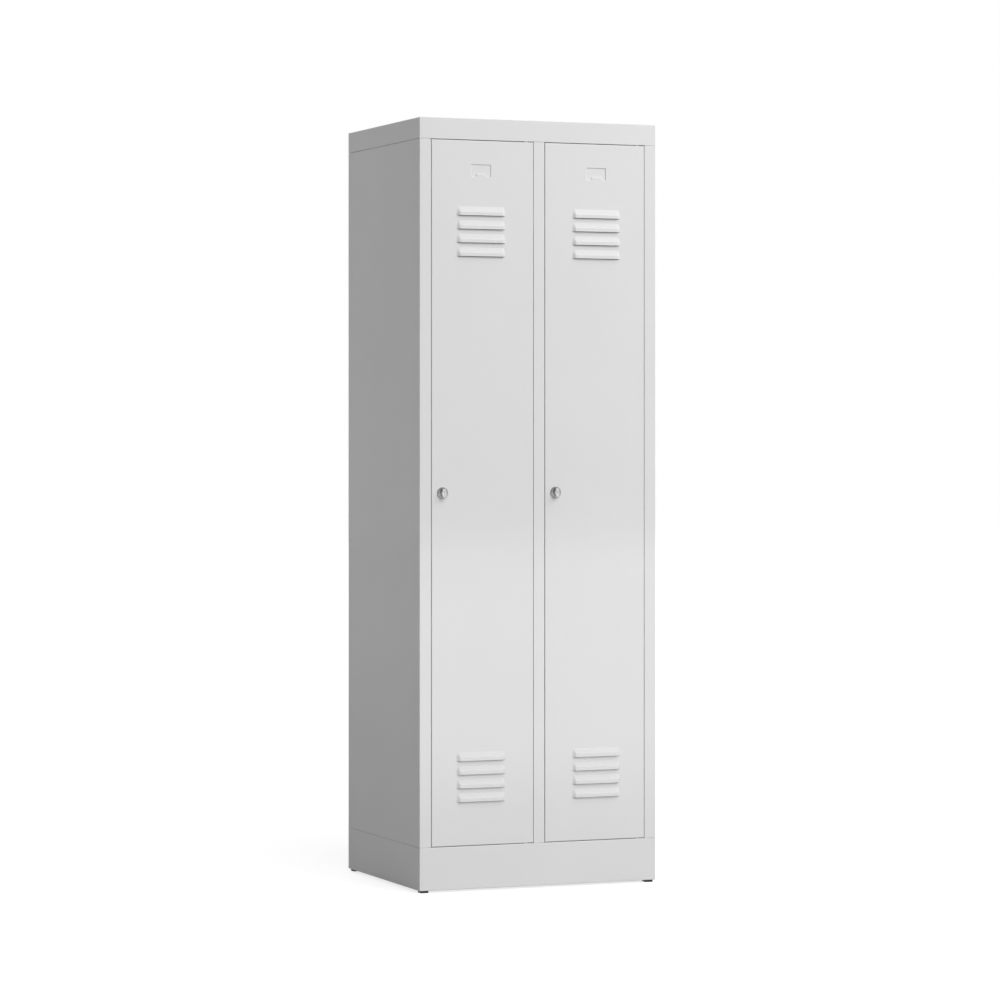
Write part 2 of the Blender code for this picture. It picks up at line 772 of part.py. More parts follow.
def rail_set(side, wall_left, wall_right):
    # A tube between two cupped sockets, with two hooks that slide on it.
    centre = (wall_left + wall_right) / 2
    socket_radius = rail_bore + SOCKET_WALL
    flange_radius = socket_radius + SOCKET_LEDGE
    cup = [
        (0, 0),
        (flange_radius, 0),
        (flange_radius, SOCKET_FLANGE),
        (socket_radius, SOCKET_FLANGE),
        (socket_radius, SOCKET_DEPTH),
        (rail_bore, SOCKET_DEPTH),
        (rail_bore, SOCKET_FLANGE),
        (0, SOCKET_FLANGE),
    ]
    ends = (("left", wall_left + CLEAR, pi / 2), ("right", wall_right - CLEAR, -pi / 2))
    for end, x, turn in ends:
        socket = turned(f"{side}_rail_{end}_socket", cup, black_plastic, SMALL_STEPS)
        socket.location = (x, middle_y, rail_height)
        socket.rotation_euler = (0, turn, 0)

    half = (wall_right - wall_left) / 2 - SOCKET_FLANGE - 2 * CLEAR
    bore = RAIL_RADIUS - RAIL_WALL
    tube = [(bore, -half), (RAIL_RADIUS, -half), (RAIL_RADIUS, half), (bore, half)]
    rail = turned(f"{side}_hanging_rail", tube, zinc_steel)
    rail.location = (centre, middle_y, rail_height)
    rail.rotation_euler = (0, pi / 2, 0)

    hole = circle(0, rail_bore)
    for number, shift in ((1, -HOOK_SPREAD), (2, HOOK_SPREAD)):
        name = f"{side}_coat_hook_{number}"
        hook = plate(name, hook_outline(), HOOK_THICKNESS, black_plastic, [hole])
        soften(hook, HOOK_EDGE)
        hook.location = (centre + shift, middle_y, rail_height)
        hook.rotation_euler = (pi / 2, 0, pi / 2)


def compartment(side, wall_left, wall_right):
    width = wall_right - wall_left - 2 * CLEAR
    front = return_y + SHELF_SETBACK
    rear = back_panel_y - SHEET - CLEAR - SHEET - CLEAR
    shelf = folded_pan(f"{side}_hat_shelf", width, rear - front, SHELF_FOLD, SHELF_HEM, inner_paint)
    shelf.location = ((wall_left + wall_right) / 2, (front + rear) / 2, shelf_top)
    rail_set(side, wall_left, wall_right)


# Plinth and cap: two folded trays, open below, with the feet under the plinth
plinth = folded_pan("base_plinth", WIDTH, DEPTH, PLINTH_HEIGHT, tray_lip, outer_paint)
plinth.location = (0, middle_y, plinth_top)
cap = folded_pan("top_cap", WIDTH, DEPTH, CAP_HEIGHT, tray_lip, outer_paint)
cap.location = (0, middle_y, HEIGHT)
foot_offset = FOOT_INSET + FOOT_SIZE / 2
for foot_side, foot_x in (("left", left_x + foot_offset), ("right", right_x - foot_offset)):
    foot(f"front_{foot_side}_foot", foot_x, front_y + foot_offset)
    foot(f"rear_{foot_side}_foot", foot_x, back_y - foot_offset)

# Sides: one folded sheet each, from the rear flange round to the front stile
left_line = [
    (left_x + REAR_FLANGE, back_y),
    (left_x, back_y),
    (left_x, front_y),
    (stile_x, front_y),
    (stile_x, stop_y),
    (stile_x + stop_lip, stop_y),
]
right_line = [
    (right_x - STILE_WIDTH + RETURN_LIP, return_y),
    (right_x - STILE_WIDTH, return_y),
    (right_x - STILE_WIDTH, front_y),
    (right_x, front_y),
    (right_x, back_y),
    (right_x - REAR_FLANGE, back_y),
]
folded_strip("left_side_panel", left_line, panel_bottom, panel_top, outer_paint, flanged_run=1)
folded_strip("right_side_panel", right_line, panel_bottom, panel_top, outer_paint, flanged_run=3)

# Centre post: hinge side on its left, door stop on its right
post_line = [
    (post_left + RETURN_LIP, return_y),
    (post_left, return_y),
    (post_left, front_y),
    (post_right, front_y),
    (post_right, stop_y),
    (post_right + stop_lip, stop_y),
]
folded_strip("centre_post", post_line, panel_bottom, panel_top, outer_paint)

back_panel()
partition()
compartment("left", inside_left, -SHEET / 2)
compartment("right", SHEET / 2, inside_right)
door("left", stile_x + door_gap, LEFT_PRESS_SHIFT)
door("right", post_right + door_gap, RIGHT_PRESS_SHIFT)
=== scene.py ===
import json
from math import atan2, cos, pi, radians, sin

import bmesh
import bpy
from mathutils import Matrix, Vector

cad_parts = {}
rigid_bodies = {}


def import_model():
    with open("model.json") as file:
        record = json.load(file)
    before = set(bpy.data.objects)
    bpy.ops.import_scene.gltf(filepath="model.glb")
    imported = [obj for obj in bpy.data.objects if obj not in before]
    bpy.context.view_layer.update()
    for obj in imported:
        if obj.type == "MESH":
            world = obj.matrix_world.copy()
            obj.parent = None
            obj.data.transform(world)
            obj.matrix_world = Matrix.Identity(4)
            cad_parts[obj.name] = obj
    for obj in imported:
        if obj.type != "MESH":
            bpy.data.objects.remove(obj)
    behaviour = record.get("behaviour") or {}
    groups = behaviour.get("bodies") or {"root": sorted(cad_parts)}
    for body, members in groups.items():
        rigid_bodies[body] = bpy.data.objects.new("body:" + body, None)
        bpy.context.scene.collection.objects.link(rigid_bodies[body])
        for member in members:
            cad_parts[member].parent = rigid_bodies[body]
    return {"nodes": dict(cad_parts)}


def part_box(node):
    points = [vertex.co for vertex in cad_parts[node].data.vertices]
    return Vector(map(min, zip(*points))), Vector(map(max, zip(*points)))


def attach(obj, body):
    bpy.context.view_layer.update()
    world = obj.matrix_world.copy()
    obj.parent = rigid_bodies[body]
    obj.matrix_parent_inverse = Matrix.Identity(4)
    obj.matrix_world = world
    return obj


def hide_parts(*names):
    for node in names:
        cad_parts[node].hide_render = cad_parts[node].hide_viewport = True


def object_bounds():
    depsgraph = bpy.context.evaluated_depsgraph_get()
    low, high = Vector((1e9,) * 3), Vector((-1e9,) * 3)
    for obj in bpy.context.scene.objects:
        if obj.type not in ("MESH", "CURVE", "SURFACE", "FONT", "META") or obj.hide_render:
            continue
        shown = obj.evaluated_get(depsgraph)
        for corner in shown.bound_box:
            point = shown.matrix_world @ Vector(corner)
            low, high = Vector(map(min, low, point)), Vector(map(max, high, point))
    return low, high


for leftover in list(bpy.data.objects):
    bpy.data.objects.remove(leftover)
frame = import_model()
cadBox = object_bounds()
scene = bpy.context.scene
cabinetLow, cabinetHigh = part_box("base_plinth")
frontY, backY = cabinetLow.y, cabinetHigh.y
leftX, rightX = cabinetLow.x, cabinetHigh.x
middleY = (frontY + backY) / 2
panelLow, panelHigh = (corner.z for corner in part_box("centre_post"))
print("frame loaded with", len(frame["nodes"]), "nodes")


# working in object and edit mode

tinyGap = 0.000002  # corners closer than this are one
samePlace = 0.00001  # and places closer than this are equal when picking
cutLimit = 0.0000001  # a corner this near a cut lies on it
sameWay = 0.999  # a face looks along a direction from this agreement on
upright = 0.5  # a face whose normal tips up or down by less than this is a wall
pointSize = 0.001  # a plane that is merged to a point
drillSides = 40
sheetDrill, lockDrill = 0.004, 0.01  # lengths that go right through


def objectMode():
    bpy.ops.object.mode_set(mode="OBJECT")


def deselectAll():
    bpy.ops.object.select_all(action="DESELECT")


def selectOnly(piece):
    if bpy.context.mode != "OBJECT":
        objectMode()
    deselectAll()
    piece.select_set(True)
    bpy.context.view_layer.objects.active = piece


def settle(piece):
    selectOnly(piece)
    bpy.ops.object.transform_apply(location=True, rotation=True, scale=True)


def named(name):
    piece = bpy.context.active_object
    piece.name = name
    piece.data.name = name
    return piece


def block(name, low, high):
    low, high = Vector(low), Vector(high)
    deselectAll()
    bpy.ops.mesh.primitive_cube_add(size=1, location=(low + high) / 2, scale=high - low)
    piece = named(name)
    settle(piece)
    return piece


def roundBar(name, place, radius, length, turn=(0, 0, 0), sides=64):
    deselectAll()
    bpy.ops.mesh.primitive_cylinder_add(
        vertices=sides, radius=radius, depth=length, location=place, rotation=turn
    )
    piece = named(name)
    settle(piece)
    return piece


def plate(name, width, height, place=(0, 0, 0), turn=(0, 0, 0)):
    deselectAll()
    bpy.ops.mesh.primitive_plane_add(size=1, location=place, rotation=turn)
    piece = named(name)
    piece.scale = (width, height, 1)
    settle(piece)
    return piece


def edit(piece, kind="FACE"):
    selectOnly(piece)
    bpy.ops.object.mode_set(mode="EDIT")
    bpy.ops.mesh.select_mode(type=kind)
    bpy.ops.mesh.select_all(action="SELECT")


def pick(piece, kind, test):
    # selects what lies where the test says, and nothing else
    bpy.ops.mesh.select_mode(type=kind)
    bpy.ops.mesh.select_all(action="DESELECT")
    mesh = bmesh.from_edit_mesh(piece.data)
    items = {"VERT": mesh.verts, "EDGE": mesh.edges, "FACE": mesh.faces}[kind]
    found = [item for item in items if test(item)]
    for item in found:
        item.select_set(True)
    mesh.select_flush_mode()
    bmesh.update_edit_mesh(piece.data)
    if not found:
        raise ValueError(f"nothing picked on {piece.name}")


def near(a, b):
    return abs(a - b) < samePlace


def centreOf(node):
    low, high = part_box(node)
    return (low + high) / 2


def facing(direction):
    direction = Vector(direction)
    return lambda face: face.normal.dot(direction) > sameWay


def middle(item):
    return sum((v.co for v in item.verts), Vector()) / len(item.verts)


def allAt(axis, value):
    # every corner of the edge or face lies at this place along x, y or z
    return lambda item: all(near(v.co[axis], value) for v in item.verts)


def span(edge, axis):
    return abs(edge.verts[0].co[axis] - edge.verts[1].co[axis])


def meetsWall(edge):
    return any(abs(face.normal.z) < upright for face in edge.link_faces)


def pull(vector):
    bpy.ops.mesh.extrude_edges_move(TRANSFORM_OT_translate={"value": vector})


def push(vector):
    bpy.ops.mesh.extrude_region_move(TRANSFORM_OT_translate={"value": vector})


def roundEdges(radius, steps):
    bpy.ops.mesh.bevel(offset=radius, segments=steps, affect="EDGES")


def applyAll(piece):
    selectOnly(piece)
    for step in list(piece.modifiers):
        bpy.ops.object.modifier_apply(modifier=step.name)


def merge(piece, other, operation):
    step = piece.modifiers.new("merge", "BOOLEAN")
    step.operation = operation
    step.object = other
    applyAll(piece)
    bpy.data.objects.remove(other)
    edit(piece)  # no slivers left along the cut
    bpy.ops.mesh.remove_doubles(threshold=tinyGap)
    bpy.ops.mesh.dissolve_degenerate(threshold=tinyGap)
    objectMode()


def drill(piece, place, radius, length, turn=(0, 0, 0)):
    merge(piece, roundBar("drill", place, radius, length, turn, drillSides), "DIFFERENCE")


def copyTo(piece, name, offset, turn=(0, 0, 0)):
    twin = piece.copy()
    twin.data = piece.data.copy()
    twin.name = twin.data.name = name
    scene.collection.objects.link(twin)
    twin.location, twin.rotation_euler = offset, turn
    settle(twin)
    return twin


def joinTo(piece, others):
    selectOnly(piece)
    for other in others:
        other.select_set(True)
    bpy.ops.object.join()


def arcPoints(centre, radius, start, end, steps):
    # radius and height along an arc, by degrees
    turns = [radians(start + (end - start) * step / steps) for step in range(steps + 1)]
    return [(centre[0] + radius * cos(turn), centre[1] + radius * sin(turn))
            for turn in turns]


def turned(name, profile, place=(0, 0, 0), turn=(0, 0, 0), sides=64):
    # a point pulled along the profile of radius and height, then spun once round
    deselectAll()
    bpy.ops.mesh.primitive_plane_add(size=pointSize)
    piece = named(name)
    edit(piece, "VERT")
    bpy.ops.mesh.merge(type="CENTER")
    bpy.ops.transform.translate(value=(profile[0][0], 0, profile[0][1]))
    for (wasOut, wasUp), (nowOut, nowUp) in zip(profile, profile[1:]):
        bpy.ops.mesh.extrude_vertices_move(
            TRANSFORM_OT_translate={"value": (nowOut - wasOut, 0, nowUp - wasUp)}
        )
    bpy.ops.mesh.select_all(action="SELECT")
    bpy.ops.mesh.spin(steps=sides, angle=2 * pi, center=(0, 0, 0), axis=(0, 0, 1))
    bpy.ops.mesh.select_all(action="SELECT")
    bpy.ops.mesh.remove_doubles(threshold=tinyGap)
    bpy.ops.mesh.normals_make_consistent(inside=False)
    objectMode()
    piece.location, piece.rotation_euler = place, turn
    settle(piece)
    return piece


def outwards(piece, face, direction):
    # one side all over, with the face nearest that place looking along the direction
    edit(piece)
    bpy.ops.mesh.normals_make_consistent(inside=False)
    mesh = bmesh.from_edit_mesh(piece.data)
    nearest = min(mesh.faces, key=lambda f: (middle(f) - Vector(face)).length)
    if nearest.normal.dot(Vector(direction)) < 0:
        bpy.ops.mesh.select_all(action="SELECT")
        bpy.ops.mesh.flip_normals()
    objectMode()


def finishPiece(piece, body, material, nodes=(), angle=38):
    selectOnly(piece)
    bpy.ops.object.shade_smooth_by_angle(angle=radians(angle))
    even = piece.modifiers.new("even", "WEIGHTED_NORMAL")
    even.keep_sharp = True
    applyAll(piece)
    piece.data.materials.clear()
    piece.data.materials.append(material)
    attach(piece, body)
    if nodes:
        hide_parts(*nodes)


# finishes

cloudSpan = (0.35, 0.65)  # where most of a noise lies, for colour
roughSpan = (0.3, 0.7)  # and for roughness


def startMaterial(name, metal=0.0):
    material = bpy.data.materials.new(name)
    material.use_nodes = True
    tree = material.node_tree
    shader = tree.nodes["Principled BSDF"]
    shader.inputs["Metallic"].default_value = metal
    return material, tree, shader


def noiseOf(tree, scale, detail, stretch=(1, 1, 1)):
    place = tree.nodes.new("ShaderNodeTexCoord")
    turn = tree.nodes.new("ShaderNodeMapping")
    turn.inputs["Scale"].default_value = stretch
    noise = tree.nodes.new("ShaderNodeTexNoise")
    noise.inputs["Scale"].default_value = scale
    noise.inputs["Detail"].default_value = detail
    tree.links.new(place.outputs["Object"], turn.inputs["Vector"])
    tree.links.new(turn.outputs["Vector"], noise.inputs["Vector"])
    return noise.outputs[0]


def colourBetween(tree, shader, source, dark, light):
    ramp = tree.nodes.new("ShaderNodeValToRGB")
    for stop, place, grey in zip(ramp.color_ramp.elements, cloudSpan, (dark, light)):
        stop.position = place
        stop.color = (*grey, 1)
    tree.links.new(source, ramp.inputs["Fac"])
    tree.links.new(ramp.outputs["Color"], shader.inputs["Base Color"])
    return ramp.outputs["Color"]


def placeY(tree):
    place = tree.nodes.new("ShaderNodeTexCoord")
    split = tree.nodes.new("ShaderNodeSeparateXYZ")
    tree.links.new(place.outputs["Object"], split.inputs[0])
    return split.outputs["Y"]


def mapRange(tree, source, before, after, smooth=False):
    level = tree.nodes.new("ShaderNodeMapRange")
    if smooth:
        level.interpolation_type = "SMOOTHSTEP"
    names = ("From Min", "From Max", "To Min", "To Max")
    for name, value in zip(names, (*before, *after)):
        level.inputs[name].default_value = value
    tree.links.new(source, level.inputs["Value"])
    return level.outputs["Result"]


def paintedShadeTowardsDoor(tree, shader, colour, look):
    # painted shade: the colour is scaled darker near the door's face, standing in for the shade
    # round the lock
    reach = (look["dullBelow"], look["paintedShadeEndsFrom"])
    level = mapRange(tree, placeY(tree), reach, (look["dull"], 1))
    shade = tree.nodes.new("ShaderNodeVectorMath")
    shade.operation = "SCALE"
    tree.links.new(colour, shade.inputs[0])
    tree.links.new(level, shade.inputs["Scale"])
    tree.links.new(shade.outputs[0], shader.inputs["Base Color"])


def roughBetween(tree, shader, source, low, high):
    level = mapRange(tree, source, roughSpan, (low, high))
    tree.links.new(level, shader.inputs["Roughness"])


def bumpFrom(tree, shader, layers):
    # each layer is a texture, its strength and its depth in metres
    normal = None
    for source, strength, depth in layers:
        bump = tree.nodes.new("ShaderNodeBump")
        bump.inputs["Strength"].default_value = strength
        bump.inputs["Distance"].default_value = depth
        tree.links.new(source, bump.inputs["Height"])
        if normal:
            tree.links.new(normal, bump.inputs["Normal"])
        normal = bump.outputs["Normal"]
    tree.links.new(normal, shader.inputs["Normal"])


paintBump = {"wave": (0.05, 0.0010), "peel": (0.15, 0.00003), "stretch": (1, 1, 0.4)}


def powderCoat(name, look):
    material, tree, shader = startMaterial(name)
    shader.inputs["Specular IOR Level"].default_value = look["shine"]
    cloud = noiseOf(tree, look["cloud"], detail=4)
    colourBetween(tree, shader, cloud, look["dark"], look["light"])
    roughBetween(tree, shader, noiseOf(tree, look["patch"], detail=3), *look["rough"])
    peel = noiseOf(tree, look["peel"], detail=2)
    wave = noiseOf(tree, look["wave"], detail=1, stretch=paintBump["stretch"])
    bumpFrom(tree, shader, [(wave, *paintBump["wave"]), (peel, *paintBump["peel"])])
    return material


paintLook = {
    "outer": {"dark": (0.698, 0.698, 0.699), "light": (0.712, 0.712, 0.712), "cloud": 3.0,
              "rough": (0.05, 0.09), "shine": 0.7, "patch": 30, "peel": 620, "wave": 3.2},
    "inner": {"dark": (0.655, 0.655, 0.656), "light": (0.690, 0.690, 0.690), "cloud": 4.0,
              "rough": (0.36, 0.46), "shine": 0.5, "patch": 24, "peel": 560, "wave": 2.6},
}
outerPaint = powderCoat("outerPaint", paintLook["outer"])
innerPaint = powderCoat("innerPaint", paintLook["inner"])

metalLook = {
    # the lock's last three values set painted shade, darker towards the door's face
    "lock": {"dark": (0.38, 0.38, 0.385), "light": (0.47, 0.47, 0.475), "cloud": 260,
             "rough": (0.16, 0.26), "grain": 2400, "strength": 0.12, "depth": 0.00004,
             "dullBelow": -0.2455, "paintedShadeEndsFrom": -0.2480, "dull": 0.68},
    "zinc": {"dark": (0.50, 0.51, 0.52), "light": (0.64, 0.65, 0.66), "cloud": 150,
             "rough": (0.30, 0.44), "grain": 1300, "strength": 0.22, "depth": 0.00004},
}


def platedMetal(name, look):
    material, tree, shader = startMaterial(name, metal=1.0)
    cloud = noiseOf(tree, look["cloud"], detail=3)
    colour = colourBetween(tree, shader, cloud, look["dark"], look["light"])
    # painted shade near the door's face, only where the look asks for it
    if "dull" in look:
        paintedShadeTowardsDoor(tree, shader, colour, look)
    roughBetween(tree, shader, noiseOf(tree, look["cloud"] / 2, detail=2), *look["rough"])
    grain = noiseOf(tree, look["grain"], detail=2)
    bumpFrom(tree, shader, [(grain, look["strength"], look["depth"])])
    return material


lockChrome = platedMetal("lockChrome", metalLook["lock"])
zincSteel = platedMetal("zincSteel", metalLook["zinc"])

mouldedLook = {
    "black": {"dark": (0.016, 0.016, 0.016), "light": (0.028, 0.028, 0.028), "cloud": 90,
              "rough": (0.45, 0.60), "grain": 1500, "strength": 0.35, "depth": 0.00005},
    "nylon": {"dark": (0.73, 0.73, 0.70), "light": (0.80, 0.80, 0.78), "cloud": 120,
              "rough": (0.42, 0.54), "grain": 1800, "strength": 0.15, "depth": 0.00005},
    "rubber": {"dark": (0.10, 0.10, 0.10), "light": (0.14, 0.14, 0.14), "cloud": 200,
               "rough": (0.74, 0.86), "grain": 2200, "strength": 0.4, "depth": 0.00005},
}


def moulded(name, look):
    material, tree, shader = startMaterial(name)
    cloud = noiseOf(tree, look["cloud"], detail=3)
    colourBetween(tree, shader, cloud, look["dark"], look["light"])
    roughBetween(tree, shader, noiseOf(tree, look["cloud"] / 3, detail=2), *look["rough"])
    grain = noiseOf(tree, look["grain"], detail=1)
    bumpFrom(tree, shader, [(grain, look["strength"], look["depth"])])
    return material


blackPlastic = moulded("blackPlastic", mouldedLook["black"])
whiteNylon = moulded("whiteNylon", mouldedLook["nylon"])
greyRubber = moulded("greyRubber", mouldedLook["rubber"])
print("finishes made")


# folded sheet

sheetMetal = {"thickness": 0.0008, "foldRadius": 0.0015, "foldSteps": 5, "longEdge": 0.1}


def thicken(piece):
    wall = piece.modifiers.new("wall", "SOLIDIFY")
    wall.thickness = sheetMetal["thickness"]
    wall.offset = -1
    wall.use_even_offset = True
    wall.use_quality_normals = True
    applyAll(piece)


def foldedTray(name, low, high, lip, openSide):
    # a box with rounded folds, open on one side inside a turned-in lip
    shell = block(name, low, high)
    edit(shell)
    roundEdges(sheetMetal["foldRadius"], sheetMetal["foldSteps"])
    pick(shell, "FACE", facing(openSide))
    bpy.ops.mesh.inset(thickness=lip - sheetMetal["foldRadius"])
    bpy.ops.mesh.delete(type="FACE")
    objectMode()
    return shell


def standsAt(point):
    return lambda edge: allAt(0, point[0])(edge) and allAt(1, point[1])(edge)


def foldedSheet(name, line, low, high):
    # a flat blank on the first run, pulled on along the others, with every fold rounded
    start, end = Vector(line[0]), Vector(line[1])
    run = end - start
    centre = (start + end) / 2
    place = (centre.x, centre.y, (low + high) / 2)
    sheet = plate(name, run.length, high - low, place, (pi / 2, 0, atan2(run.y, run.x)))
    edit(sheet)
    for corner, following in zip(line[1:], line[2:]):
        pick(sheet, "EDGE", standsAt(corner))
        pull((following[0] - corner[0], following[1] - corner[1], 0))
    pick(sheet, "EDGE", lambda edge: any(standsAt(corner)(edge) for corner in line[1:-1]))
    roundEdges(sheetMetal["foldRadius"], sheetMetal["foldSteps"])
    objectMode()
    outwards(sheet, place, (run.y, -run.x, 0))
    return sheet


def endFlanges(sheet, wallX, inward, relief):
    # the wall's top and bottom edges fold in flat, cut short at both ends
    for level in (panelLow, panelHigh):
        edit(sheet)
        pick(sheet, "EDGE", lambda e: allAt(2, level)(e) and allAt(0, wallX)(e)
             and span(e, 1) > sheetMetal["longEdge"])
        pull((inward, 0, 0))
        length = backY - frontY - 2 * sheetMetal["foldRadius"]
        bpy.ops.transform.resize(
            value=(1, 1 - 2 * relief / length, 1), center_override=(wallX, middleY, level)
        )
        objectMode()
    outwards(sheet, (wallX, middleY, (panelLow + panelHigh) / 2), (-inward, 0, 0))


# cap and plinth, two trays open below

tray = {"lip": 0.025, "bushHole": 0.0035, "pegHole": 0.0043}
pivots = [centreOf(f"{side}_door_upper_pin") for side in ("left", "right")]

capTray = foldedTray("capTray", *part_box("top_cap"), tray["lip"], (0, 0, -1))
outwards(capTray, (0, middleY, cadBox[1].z), (0, 0, 1))
thicken(capTray)
plinthTray = foldedTray("plinthTray", *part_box("base_plinth"), tray["lip"], (0, 0, -1))
outwards(plinthTray, (0, middleY, cabinetHigh.z), (0, 0, 1))
thicken(plinthTray)
for pivot in pivots:
    drill(capTray, (pivot.x, pivot.y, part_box("top_cap")[0].z), tray["bushHole"], sheetDrill)
    drill(plinthTray, (pivot.x, pivot.y, cabinetHigh.z), tray["bushHole"], sheetDrill)

foot = {"corner": 0.0025, "rim": 0.0008, "padHeight": 0.005,
        "soleInset": 0.0015, "soleDepth": 0.0006,
        "peg": 0.004, "pegRoot": 0.002, "cornerSteps": 4, "rimSteps": 3}
for end in ("front", "rear"):
    for side in ("left", "right"):
        node = f"{end}_{side}_foot"
        low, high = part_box(node)
        top = low.z + foot["padHeight"]
        pad = block(f"{end}{side.title()}Pad", low, (high.x, high.y, top))
        edit(pad)
        pick(pad, "EDGE", lambda e: span(e, 2) > foot["padHeight"] / 2)
        roundEdges(foot["corner"], foot["cornerSteps"])
        pick(pad, "FACE", facing((0, 0, -1)))
        bpy.ops.mesh.inset(thickness=foot["soleInset"])
        bpy.ops.mesh.inset(thickness=foot["soleDepth"], depth=-foot["soleDepth"])
        pick(pad, "EDGE", lambda e: (allAt(2, low.z)(e) or allAt(2, top)(e))
             and meetsWall(e))
        roundEdges(foot["rim"], foot["rimSteps"])
        objectMode()
        centre = ((low.x + high.x) / 2, (low.y + high.y) / 2)
        root = top - foot["pegRoot"]
        peg = roundBar("peg", (*centre, (root + high.z) / 2), foot["peg"], high.z - root)
        merge(pad, peg, "UNION")
        drill(plinthTray, (*centre, cabinetLow.z), tray["pegHole"], sheetDrill)
        finishPiece(pad, "cabinet", blackPlastic, [node])
finishPiece(capTray, "cabinet", outerPaint, ["top_cap"])
finishPiece(plinthTray, "cabinet", outerPaint, ["base_plinth"])
print("cap, plinth and feet made")


# sides and centre post

frontFrame = {"stile": 0.0288, "rearFlange": 0.015, "stopDepth": 0.0206, "stopLip": 0.012,
              "returnDepth": 0.027, "returnLip": 0.011, "endFlange": 0.016, "endRelief": 0.006,
              "seamClose": 0.00045}
stileX = leftX + frontFrame["stile"]
hingeX = rightX - frontFrame["stile"]
stopY = frontY + frontFrame["stopDepth"]
returnY = frontY + frontFrame["returnDepth"]
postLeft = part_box("centre_post")[0].x
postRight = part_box("centre_post")[1].x - frontFrame["stopLip"]

leftLine = [(leftX + frontFrame["rearFlange"], backY), (leftX, backY), (leftX, frontY),
            (stileX, frontY), (stileX, stopY), (stileX + frontFrame["stopLip"], stopY)]
rightLine = [(hingeX + frontFrame["returnLip"], returnY), (hingeX, returnY), (hingeX, frontY),
             (rightX, frontY), (rightX, backY), (rightX - frontFrame["rearFlange"], backY)]
postLine = [(postLeft + frontFrame["returnLip"], returnY), (postLeft, returnY), (postLeft, frontY),
            (postRight, frontY), (postRight, stopY), (postRight + frontFrame["stopLip"], stopY)]
for name, line, node, wall in (
    ("leftSideSheet", leftLine, "left_side_panel", leftX),
    ("rightSideSheet", rightLine, "right_side_panel", rightX),
    ("centrePostSheet", postLine, "centre_post", None),
):
    sheet = foldedSheet(name, line, panelLow, panelHigh)
    edit(sheet)  # the front run stands almost up to the cap
    pick(sheet, "VERT", lambda v: near(v.co.z, panelHigh) and near(v.co.y, frontY))
    bpy.ops.transform.translate(value=(0, 0, frontFrame["seamClose"]))
    if wall:
        inward = frontFrame["endFlange"] * (1 if wall < 0 else -1)
        endFlanges(sheet, wall, inward, frontFrame["endRelief"])
    thicken(sheet)
    finishPiece(sheet, "cabinet", outerPaint, [node])
print("sides and post made")


# doors

louvre = {"length": 0.1224, "height": 0.0208, "projection": 0.0052, "topSlope": 0.0140,
          "wallTilt": 35, "footRadius": 0.0009, "edgeRadius": 0.0013, "arcSteps": 5,
          "corner": 0.0083, "cornerSteps": 9, "slit": 0.0006, "slitInset": 0.0016,
          "margin": 0.008, "cuts": 11, "pitch": 0.03175, "count": 4,
          "topDrop": 0.1747, "bottomRise": 0.1021}


def standUp(piece):
    # from lying face up to facing the front
    piece.rotation_euler = (pi / 2, 0, 0)
    settle(piece)


def insetAlong(profile):
    # presses the picked face through the profile's points of inset and height
    for (wasIn, wasUp), (nowIn, nowUp) in zip(profile, profile[1:]):
        bpy.ops.mesh.inset(thickness=nowIn - wasIn, depth=nowUp - wasUp)


def hoodProfile():
    # inset and height up a sloping end wall: a fillet, a straight run and a rounded edge
    tilt, fillet, edge = radians(louvre["wallTilt"]), louvre["footRadius"], louvre["edgeRadius"]
    straight = (louvre["projection"] - (fillet + edge) * (1 - cos(tilt))) / sin(tilt)
    turns = [tilt * step / louvre["arcSteps"] for step in range(louvre["arcSteps"] + 1)]
    profile = [(fillet * sin(turn), fillet * (1 - cos(turn))) for turn in turns]
    inward = profile[-1][0] + straight * cos(tilt)
    upward = profile[-1][1] + straight * sin(tilt)
    profile += [(inward + edge * (sin(tilt) - sin(turn)), upward + edge * (cos(turn) - cos(tilt)))
                for turn in reversed(turns)]
    return profile


def louvreHood():
    # pressed while squeezed from top to bottom, so that the top slopes gently once it is let out
    profile = hoodProfile()
    squeeze = profile[-1][0] / louvre["topSlope"]
    half = louvre["length"] / 2
    hood = plate("louvreHood", louvre["length"], 2 * louvre["height"] * squeeze)
    edit(hood, "VERT")
    bpy.ops.mesh.bevel(offset=louvre["corner"], segments=louvre["cornerSteps"], affect="VERTICES")
    pick(hood, "FACE", lambda f: len(f.verts) > 4)
    insetAlong(profile)
    hood.scale = (1, 1 / squeeze, 1)
    settle(hood)
    edit(hood)  # only the upper half stays, open along its lip
    bpy.ops.mesh.bisect(
        plane_co=(0, 0, 0), plane_no=(0, 1, 0), clear_inner=True, threshold=cutLimit
    )
    for side in (-1, 1):  # the lanced line below the lip
        lipEnd = Vector((side * half, 0, 0))
        pick(hood, "VERT", lambda v: all(near(v.co[axis], lipEnd[axis]) for axis in range(3)))
        bpy.ops.mesh.extrude_vertices_move(
            TRANSFORM_OT_translate={"value": (-side * louvre["slitInset"], -louvre["slit"], 0)}
        )
    pick(hood, "VERT", lambda v: v.co.y < -louvre["slit"] / 2)
    bpy.ops.mesh.edge_face_add()
    bpy.ops.mesh.select_all(action="DESELECT")  # the flat round the hood, as far as the next one's
    flatLow = (louvre["height"] - louvre["pitch"]) / 2
    bpy.ops.mesh.primitive_plane_add(size=2, location=(0, flatLow + louvre["pitch"] / 2, 0))
    bpy.ops.transform.resize(value=(half + louvre["margin"], louvre["pitch"] / 2, 1),
                             center_override=(0, flatLow + louvre["pitch"] / 2, 0))
    bpy.ops.mesh.delete(type="ONLY_FACE")
    pick(hood, "EDGE", lambda e: near(middle(e).x, 0) and len(e.link_faces) == 0
         and (near(middle(e).y, flatLow) or near(middle(e).y, flatLow + louvre["pitch"])))
    bpy.ops.mesh.subdivide(number_cuts=louvre["cuts"])
    pick(hood, "EDGE", lambda e: allAt(2, 0)(e) and len(e.link_faces) < 2)
    bpy.ops.mesh.fill(use_beauty=True)
    standUp(hood)
    return hood


